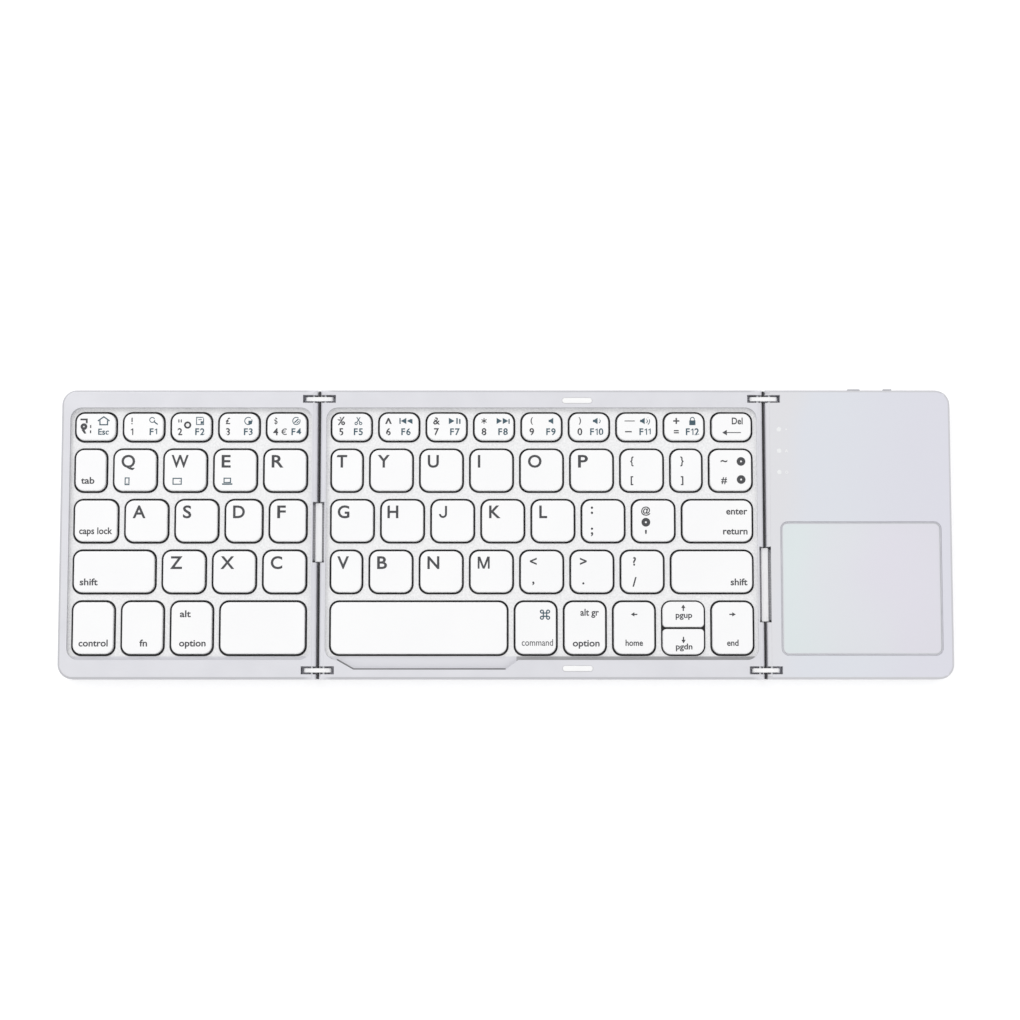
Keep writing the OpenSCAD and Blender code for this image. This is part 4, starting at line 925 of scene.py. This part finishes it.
def number_marks(entry, low, high):
    """The grey and the slate marks of a key in the number row."""
    left, right, back, front = low[0], high[0], high[1], low[1]
    if entry is None:
        return [word("Del", 2.2, right - 3.0, back - 3.9, "right", 3.7),
                moved(arrow(6.4, 1.6, SLIM, 180), right - 6.8, front + 2.8)], []
    upper, size, lower, icon, name, inset, name_inset = entry
    x, foot = left + inset, front + MARK_FRONT
    if upper == "_":
        grey = [bar(x - 1.75, back - MARK_BACK, x + 1.75, back - MARK_BACK, SLIM),
                bar(x - 1.6, foot, x + 0.7, foot, STOUT)]
    elif lower.isdigit():
        grey = [sign(upper, size, x, back - MARK_BACK), label(lower, DIGIT_H, x, foot - DIGIT_H / 2)]
    else:
        grey = [sign(upper, size, x, back - MARK_BACK), sign(lower, 1.7, x, foot)]
    if lower == "4":
        grey.append(label("€", DIGIT_H, left + 6.0, foot - DIGIT_H / 2))
    if name == "Esc":
        grey += [bar(left + 5.1, front + y, left + 5.1, front + y + 1.0, STOUT) for y in (2.6, 4.4)]
    across = right - name_inset
    if name == "Esc":
        named = word(name, 2.0, across, foot - 1.0, "middle")
    else:
        named = label(name, LABEL_H, across, foot - LABEL_H / 2)
    return grey, [moved(ICONS[icon], across, back - MARK_BACK), named]


# Small pictures as icon, distance from the left edge and height over the front edge: the
# three kinds of device that the keyboard can be switched to, and a looped square
PICTURE_KEYS = {
    "keys_left_upper": {0: ("phone", 4.6, 3.4), 1: ("tablet", 4.6, 3.4), 2: ("laptop", 4.6, 3.4)},
    "keys_middle_modifiers": {0: ("loops", 10.2, 13.5)},
}
# How much bolder the words are drawn than the font, where it isn't the usual share
LIGHT_WORDS = {"command": 0.006}


def words_on(low, high, entries):
    """The words of one key, placed from its left edge, middle or right edge."""
    shapes = []
    for text, height, width, align, inset, base in entries:
        x = {"left": low[0] + inset, "right": high[0] - inset,
             "middle": (low[0] + high[0]) / 2 + inset}[align]
        shapes.append(word(text, height, x, low[1] + base, align, width, LIGHT_WORDS.get(text, WORD_BOLD)))
    return shapes


def key_marks(node):
    """The flat legends of a node's keys: a list of (box, grey, slate and white shapes)."""
    marks = []
    for i, (low, high) in enumerate(key_boxes[node]):
        left, back, front = low[0], high[1], low[1]
        grey, slate, white = [], [], []
        if node in NUMBER_KEYS:
            grey, slate = number_marks(NUMBER_KEYS[node][i], low, high)
        if node in LETTER_KEYS and i < len(LETTER_KEYS[node]):
            text = LETTER_KEYS[node][i]
            grey.append(letter(text, left + LETTER_INSETS.get(text, 2.6), back - LETTER_TOP - LETTER_H))
        for text, size, x, y in SIGN_KEYS.get(node, {}).get(i, []):
            grey.append(sign(text, size, left + x, back - y if y > 0 else front - y))
        for x, y, r, share in DISC_KEYS.get(node, {}).get(i, []):
            grey.append(arc(left + x, back - y, r / 2, r, steps=28))
            white.append(arc(left + x, back - y, r * share / 2, r * share, steps=16))
        if i in PICTURE_KEYS.get(node, {}):
            icon, x, y = PICTURE_KEYS[node][i]
            slate.append(moved(ICONS[icon], left + x, front + y))
        grey += words_on(low, high, WORD_KEYS.get(node, []))
        if node in MODIFIER_KEYS:
            grey += words_on(low, high, MODIFIER_KEYS[node][i])
        if node in ARROWS:
            degrees, height = ARROWS[node]
            grey.append(moved(arrow(2.2, 1.2, STOUT, degrees), (left + high[0]) / 2, front + height))
        marks.append(((low, high), grey, slate, white))
    return marks


def print_legends(node, name, shapes, finish, lift):
    """One thin printed mesh just above the caps, each point at the height of the cap there."""
    if not shapes:
        return
    inked = []
    for (low, high), (xy, polygons) in shapes:
        z = cap_top_z(low, high, xy[:, 0], xy[:, 1]) + lift
        inked.append((np.column_stack([xy, z]), polygons))
    piece = mesh_piece(name, *joined(inked), finish, smooth=False)
    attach(piece, body_of(node))


inks = (("grey", ink_grey, 1), ("slate", ink_slate, 1), ("white", ink_white, 2))
for node in key_nodes:
    marks = key_marks(node)
    for k, (ink, finish, layer) in enumerate(inks, 1):
        shapes = [(mark[0], shape) for mark in marks for shape in mark[k]]
        print_legends(node, f"{node}_{ink}_print", shapes, finish, INK_LIFT * layer)

# ---- Fold pads ----------------------------------------------------------------------
# Two white silicone pills, glued into seats in the rim, that the folded panels land on.
PAD_FILLET = 0.25
PAD_TRIM = 0.03


def plate_solid(low, high, corners, fillet, steps=8):
    """A flat plate with round corners and a quarter-round upper edge, as rings round its
    outline, closed by one face below and one on top."""
    path = [(0.0, low[2]), (0.0, high[2] - fillet)]
    path += [(fillet - r, z) for r, z in quarter(0, high[2] - fillet, fillet, 0, 5)[1:]]
    return closed_rings(outline_rings(low, high, corners, path, steps))


pad_white = grained_finish("pad_white", (0.96, 0.96, 0.96), (0.94, 0.94, 0.945), rough=(0.5, 0.62),
                           grain=0.1, mottle=5.0)
pads = []
for low, high in solid_boxes("fold_pads"):
    radius = (high[1] - low[1]) / 2 - PAD_TRIM
    pads.append(plate_solid(low, high, [radius] * 4, PAD_FILLET, 12))
stand_for(mesh_piece("fold_pad_pills", *joined(pads), pad_white), "fold_pads")

# ---- Hinges -------------------------------------------------------------------------
# At each seam, two white links on a spine, moulded in one, turn on steel pins in the
# lugs of the panels. Below the spine's top the piece is near black, and dark plugs fill the
# ends of the seam: painted shade that darkens the seam. A white bridge clips over the spine
# and shields the flat cable.
HINGE_WHITE = (0.96, 0.96, 0.965)
HINGE_SHADE = (0.94, 0.94, 0.95)
SPINE_SHADE = (0.035, 0.035, 0.04)
SPINE_TOP = 4.9
PLUG_HALF = 0.34
PLUG_END = 49.15
PLUG_TOP = 5.8
PLUG_CORNER = 0.12
PLUG_FILLET = 0.1
PLUG_INSIDE = 0.6
hinge_white = grained_finish("hinge_white", HINGE_WHITE, HINGE_SHADE, rough=(0.25, 0.35), grain=0.12,
                             mottle=6.0, depth=0.004)
pin_steel = grained_finish("pin_steel", (0.56, 0.57, 0.59), (0.5, 0.51, 0.53), metallic=1.0,
                           rough=(0.18, 0.28), grain=0.06, depth=0.003)
spine_dark = grained_finish("spine_dark", SPINE_SHADE, (0.045, 0.045, 0.05), rough=(0.5, 0.65),
                            grain=0.12, mottle=3.0)
hinge_two_shot = grained_finish("hinge_two_shot", HINGE_WHITE, HINGE_SHADE, rough=(0.25, 0.38),
                                grain=0.12, mottle=6.0, depth=0.004)
# Painted shade: below the spine's top the hinge piece is near black.
split_finish(hinge_two_shot, "Z", SPINE_TOP, SPINE_SHADE)
for side in ("left", "right"):
    softened(side + "_hinge_frame", 0.14, hinge_two_shot)
    softened(side + "_cable_bridge", 0.2, hinge_white)
    dress(side + "_hinge_pins", pin_steel)
    low, high = box_mm(side + "_hinge_frame")
    x0, x1 = [(low[0] + high[0]) / 2 + sideways for sideways in (-PLUG_HALF, PLUG_HALF)]
    # Near-black plugs fill both ends of the seam, as painted shade.
    plugs = [plate_solid((x0, start, low[2]), (x1, end, PLUG_TOP), [PLUG_CORNER] * 4, PLUG_FILLET)
             for start, end in ((high[1] - PLUG_INSIDE, PLUG_END), (-PLUG_END, low[1] + PLUG_INSIDE))]
    shade_plugs = mesh_piece(side + "_hinge_plugs", *joined(plugs), spine_dark)
    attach(shade_plugs, body_of(side + "_hinge_frame"))

# ---- Touchpad panel -----------------------------------------------------------------
# A pearl-painted cover plate with the touchpad set into it. Under it lie the touchpad's
# board, the battery, and the main board with the charging socket and the switches.
COVER_PEARL = (0.715, 0.735, 0.79)
TOUCH_PEARL = (0.735, 0.75, 0.79)
REFLECTION_DRIFT = 30.0
TOUCH_CORNER = 2.15
TOUCH_EDGE = 0.55
SEAL_OUT = 0.49
SEAL_IN = 0.06
SEAL_SINK = 0.16
SEAL_T = 0.25


def pearl_reflection_finish(name, base, left, right, spans, rough, side, reach):
    """Pearl paint with a painted reflection: its cast changes across the panel, from the left
    colour to the base over the first span of X in millimetres, and from the base to the right
    colour over the second, with the edges of the spans moved by a large soft noise. Its edges
    get a painted highlight, and its upright faces beyond the reach have the side colour as
    painted shade."""
    made = grained_finish(name, base, base, rough=rough, grain=0.1, mottle=38.0, depth=0.003, coat=0.25,
                          edge=0.3)
    tree, painted = colour_of(made)
    cloud = fed(tree, "TexNoise", {"Scale": 28.0, "Detail": 1.0,
                                   "Vector": fed(tree, "TexCoord").outputs["Object"]})
    drift = maths(tree, "MULTIPLY_ADD", cloud.outputs["Fac"], REFLECTION_DRIFT * MM, own_axes(tree)["X"])
    for colour, (start, end) in ((left, spans[0][::-1]), (right, spans[1])):
        share = ranged(tree, drift, (start + REFLECTION_DRIFT / 2) * MM, (end + REFLECTION_DRIFT / 2) * MM,
                       interpolation_type="SMOOTHSTEP")
        painted = mixed(tree, share, painted, colour)
    repaint(tree, with_shaded_sides(tree, painted, side, reach))
    return made


def hoop_solid(low, high, corners, path):
    """A closed hoop: a small profile of (inset, z) points carried round a rounded rectangle,
    its last ring joined to its first."""
    rings = outline_rings(low, high, corners, path, 8)
    around, count = len(rings[0]), len(rings) * len(rings[0])
    faces = [[v % count for v in quad] for quad in ring_faces(len(rings) + 1, around)]
    return np.concatenate(rings), [face[::-1] for face in faces]


# The cover and the touchpad carry a painted reflection; the touchpad's rounded edge takes painted shade.
cover_pearl = pearl_reflection_finish("cover_pearl", COVER_PEARL, (0.73, 0.73, 0.76), (0.71, 0.71, 0.78),
                           ((92, 104), (112, 140)), (0.28, 0.4), SIDE_SHADE_SILVER, OUTER_RIM)
touch_pearl = pearl_reflection_finish("touch_pearl", TOUCH_PEARL, (0.725, 0.79, 0.80), (0.735, 0.72, 0.79),
                           ((98, 116), (114, 134)), (0.22, 0.34), (0.66, 0.67, 0.70), (0.0, 0.0))
softened("right_top_cover", 0.25, cover_pearl)
low, high = box_mm("touchpad")
pad_plate = plate_solid(low, high, [TOUCH_CORNER] * 4, TOUCH_EDGE)
stand_for(mesh_piece("touchpad_plate", *pad_plate, touch_pearl), "touchpad")

seal_grey = grained_finish("seal_grey", (0.62, 0.62, 0.66), (0.58, 0.58, 0.62), rough=(0.6, 0.75),
                           grain=0.1, mottle=4.0)
seal_top = high[2] - SEAL_SINK
seal_path = [(-SEAL_OUT, seal_top - SEAL_T), (-SEAL_OUT, seal_top), (SEAL_IN, seal_top),
             (SEAL_IN, seal_top - SEAL_T)]
touch_seal = mesh_piece("touchpad_seal", *hoop_solid(low, high, [TOUCH_CORNER] * 4, seal_path), seal_grey)
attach(touch_seal, body_of("touchpad"))

control_grey = grained_finish("control_grey", (0.38, 0.38, 0.41), (0.34, 0.34, 0.37), rough=(0.3, 0.42),
                              grain=0.1, mottle=4.0)
for control in ("power_switch_knob", "connect_button"):
    softened(control, 0.15, control_grey)

LENS_R = 0.8
LENS_PROUD = 0.02
LENS_STEP = 0.02
LENS_EDGE = 0.1
lens_clear = grained_finish("light_lens", (0.85, 0.86, 0.87), (0.83, 0.84, 0.85), rough=(0.2, 0.3),
                            grain=0.1, mottle=1.0, depth=0.001, coat=0.3)
lenses, light_marks = [], []
for low, high in solid_boxes("indicator_lights"):
    middle, r, top = (low + high) / 2, (high[0] - low[0]) / 2, high[2]
    step, proud = top - LENS_STEP, top + LENS_PROUD
    profile = [(0, low[2]), (r, low[2]), (r, step), (LENS_R, step), (LENS_R, top + LENS_PROUD / 2),
               (LENS_R - LENS_EDGE, proud), (0, proud)]
    lenses.append(turned_solid(middle[:2], profile, 32))
    light_marks.append(middle)
stand_for(mesh_piece("indicator_lenses", *joined(lenses), lens_clear), "indicator_lights")

# Beside each light, a small pale sign: a bolt, a capital A and a ring
SIGN_RIGHT = 2.5
bolt = polygon((0.15, 0.6), (-0.4, -0.1), (0.0, -0.1), (-0.15, -0.6), (0.4, 0.1), (0.0, 0.1))
sign_shapes = [bolt, sign("A", 1.1, 0, 0), arc(0, 0, 0.42, 0.22)]
signs = [moved(shape, at[0] + SIGN_RIGHT, at[1]) for shape, at in zip(sign_shapes, light_marks[::-1])]
xy, faces = joined(signs)
sign_z = np.full(len(xy), box_mm("right_top_cover")[1][2] + INK_LIFT)
sign_print = mesh_piece("light_signs_print", np.column_stack([xy, sign_z]), faces, ink_white, smooth=False)
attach(sign_print, body_of("indicator_lights"))

board_green = grained_finish("board_green", (0.012, 0.10, 0.05), (0.015, 0.13, 0.065), rough=(0.25, 0.4),
                             grain=0.4, mottle=3.0, coat=0.3)
battery_foil = grained_finish("battery_foil", (0.6, 0.61, 0.63), (0.55, 0.56, 0.58), metallic=0.9,
                              rough=(0.25, 0.4), grain=1.2, mottle=6.0, depth=0.05)
socket_steel = grained_finish("socket_steel", (0.5, 0.51, 0.53), (0.45, 0.46, 0.48), metallic=1.0,
                              rough=(0.2, 0.32), grain=0.1, depth=0.003)
dress("touchpad_board", board_green)
dress("main_board", board_green)
dress("battery", battery_foil)
dress("charging_socket", socket_steel)

# ---- Flat cables --------------------------------------------------------------------
# A thin white polyester cable with fine printed tracks crosses each seam under its bridge.
# It is drawn as two straight halves, from the seam to either end of the cable.
CABLE_END_GAP = 0.5
CABLE_BEND = 0.9
TRACK_PITCH = 0.9
TRACK_GREY = (0.42, 0.42, 0.45)
WAVE_UNIT = 20
cable_white = grained_finish("cable_white", (0.66, 0.66, 0.68), (0.62, 0.62, 0.65), rough=(0.3, 0.42),
                             grain=0.3, mottle=2.0, depth=0.003)


def ruled_finish(made, pitch):
    """Adds fine darker tracks that run across the seam: a sine of the piece's own Y, of which a
    wave texture draws its scale times 20 over 2 pi to the metre."""
    tree, plain = colour_of(made)
    tracks = fed(tree, "TexWave", {"Scale": 2 * math.pi / (pitch * MM) / WAVE_UNIT,
                                   "Vector": fed(tree, "TexCoord").outputs["Object"]}, bands_direction="Y")
    share = ranged(tree, tracks.outputs["Fac"], 0.4, 0.6, 0.0, 0.35)
    repaint(tree, mixed(tree, share, plain, TRACK_GREY))


def strip_solid(x0, x1, y0, y1, z0, z1, steps=20):
    """A thin strip as rings of four corners carried along X, closed at both ends."""
    ring = np.array([(y0, z0), (y1, z0), (y1, z1), (y0, z1)])
    return closed_rings([np.column_stack([np.full(4, x), ring]) for x in np.linspace(x0, x1, steps)])


ruled_finish(cable_white, TRACK_PITCH)
joints = {joint["child"]: joint for joint in frame["joints"]}
for side in ("left", "right"):
    cable, hinge, outer = side + "_flex_cable", side + "_hinge", side + "_panel"
    low, high = box_mm(cable)
    y0, y1 = [corner[1] for corner in box_mm(side + "_cable_bridge")]
    seam = (low[0] + high[0]) / 2
    for panel, turning in (("middle_panel", hinge), (outer, outer)):
        pivot = joints[turning]["pos_m"][0] / MM
        end, bend = (high[0], CABLE_BEND) if pivot > seam else (low[0], -CABLE_BEND)
        strip = strip_solid(min(seam, end), max(seam, end), y0 + CABLE_END_GAP, y1 - CABLE_END_GAP,
                            low[2], high[2])
        piece = mesh_piece(f"{cable}_to_{panel}", *strip, cable_white, smooth=False)
        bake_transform(piece)
        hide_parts(cable)

# ---- Studio -------------------------------------------------------------------------
# A white sweep, one soft lamp behind on the left and a wide one overhead.
CAMERA_DISTANCE = 0.8
CAMERA_ELEVATION = 84.4
FOCAL_PX = 2343.0
IMAGE_PX = 1020.0
SENSOR = 36.0
AIM = Vector((0.0014, 0.0085, 0.004))
SKY_LIGHT = 0.82
SWEEP = 3000.0
SWEEP_WHITE = (0.86, 0.86, 0.865, 1)
SWEEP_GLOW = 0.35


def area_lamp(name, place, size, watts):
    """A square lamp that looks at the origin."""
    lamp = bpy.data.lights.new(name, "AREA")
    lamp.size = size
    lamp.energy = watts
    holder = bpy.data.objects.new(name, lamp)
    holder.location = place
    holder.rotation_euler = (-Vector(place)).to_track_quat("-Z", "Y").to_euler()
    bpy.context.scene.collection.objects.link(holder)


def background_rays(tree):
    """1 for the rays that see the background: from the camera, off gloss and through glass."""
    rays = fed(tree, "LightPath").outputs
    seen = rays["Is Camera Ray"]
    for kind in ("Is Glossy Ray", "Is Transmission Ray"):
        seen = maths(tree, "MAXIMUM", seen, rays[kind])
    return seen


def floor_finish():
    """Matte white that shows as white to the camera and keeps a faint shadow, and is clear from
    below, so that the underside can be seen."""
    made = bpy.data.materials.new("floor_white")
    made.use_nodes = True
    tree = made.node_tree
    shader = feed(tree, tree.nodes["Principled BSDF"], {"Base Color": SWEEP_WHITE, "Roughness": 0.9,
                                                        "Specular IOR Level": 0.0})
    glow = fed(tree, "Emission", {"Strength": maths(tree, "MULTIPLY", background_rays(tree), SWEEP_GLOW)})
    both = fed(tree, "AddShader", {0: shader.outputs[0], 1: glow.outputs[0]})
    below = fed(tree, "NewGeometry").outputs["Backfacing"]
    clear = fed(tree, "BsdfTransparent")
    one_sided = fed(tree, "MixShader", {0: below, 1: both.outputs[0], 2: clear.outputs[0]})
    feed(tree, tree.nodes["Material Output"], {"Surface": one_sided.outputs[0]})
    return made


corners = [(-SWEEP, -SWEEP, 0), (SWEEP, -SWEEP, 0), (SWEEP, SWEEP, 0), (-SWEEP, SWEEP, 0)]
floor = mesh_piece("floor", corners, [[0, 1, 2, 3]], floor_finish(), smooth=False)
area_lamp("key_lamp", (-0.55, 0.8, 0.95), 0.6, 3.9)
area_lamp("fill_lamp", (0.7, -0.8, 1.0), 1.0, 1.8)

world = bpy.data.worlds.new("studio")
bpy.context.scene.world = world
world.use_nodes = True
tree = world.node_tree
level = maths(tree, "MULTIPLY_ADD", background_rays(tree), 1 - SKY_LIGHT, SKY_LIGHT)
feed(tree, tree.nodes["Background"], {"Color": (1, 1, 1, 1), "Strength": level})

bpy.context.scene.view_settings.view_transform = "Standard"
camera = bpy.data.cameras.new("camera")
camera.sensor_width = SENSOR
camera.lens = FOCAL_PX / IMAGE_PX * SENSOR
holder = bpy.data.objects.new("camera", camera)
elevation = math.radians(CAMERA_ELEVATION)
holder.location = AIM + CAMERA_DISTANCE * Vector((0, -math.cos(elevation), math.sin(elevation)))
holder.rotation_euler = (AIM - holder.location).to_track_quat("-Z", "Y").to_euler()
bpy.context.scene.collection.objects.link(holder)
bpy.context.scene.camera = holder
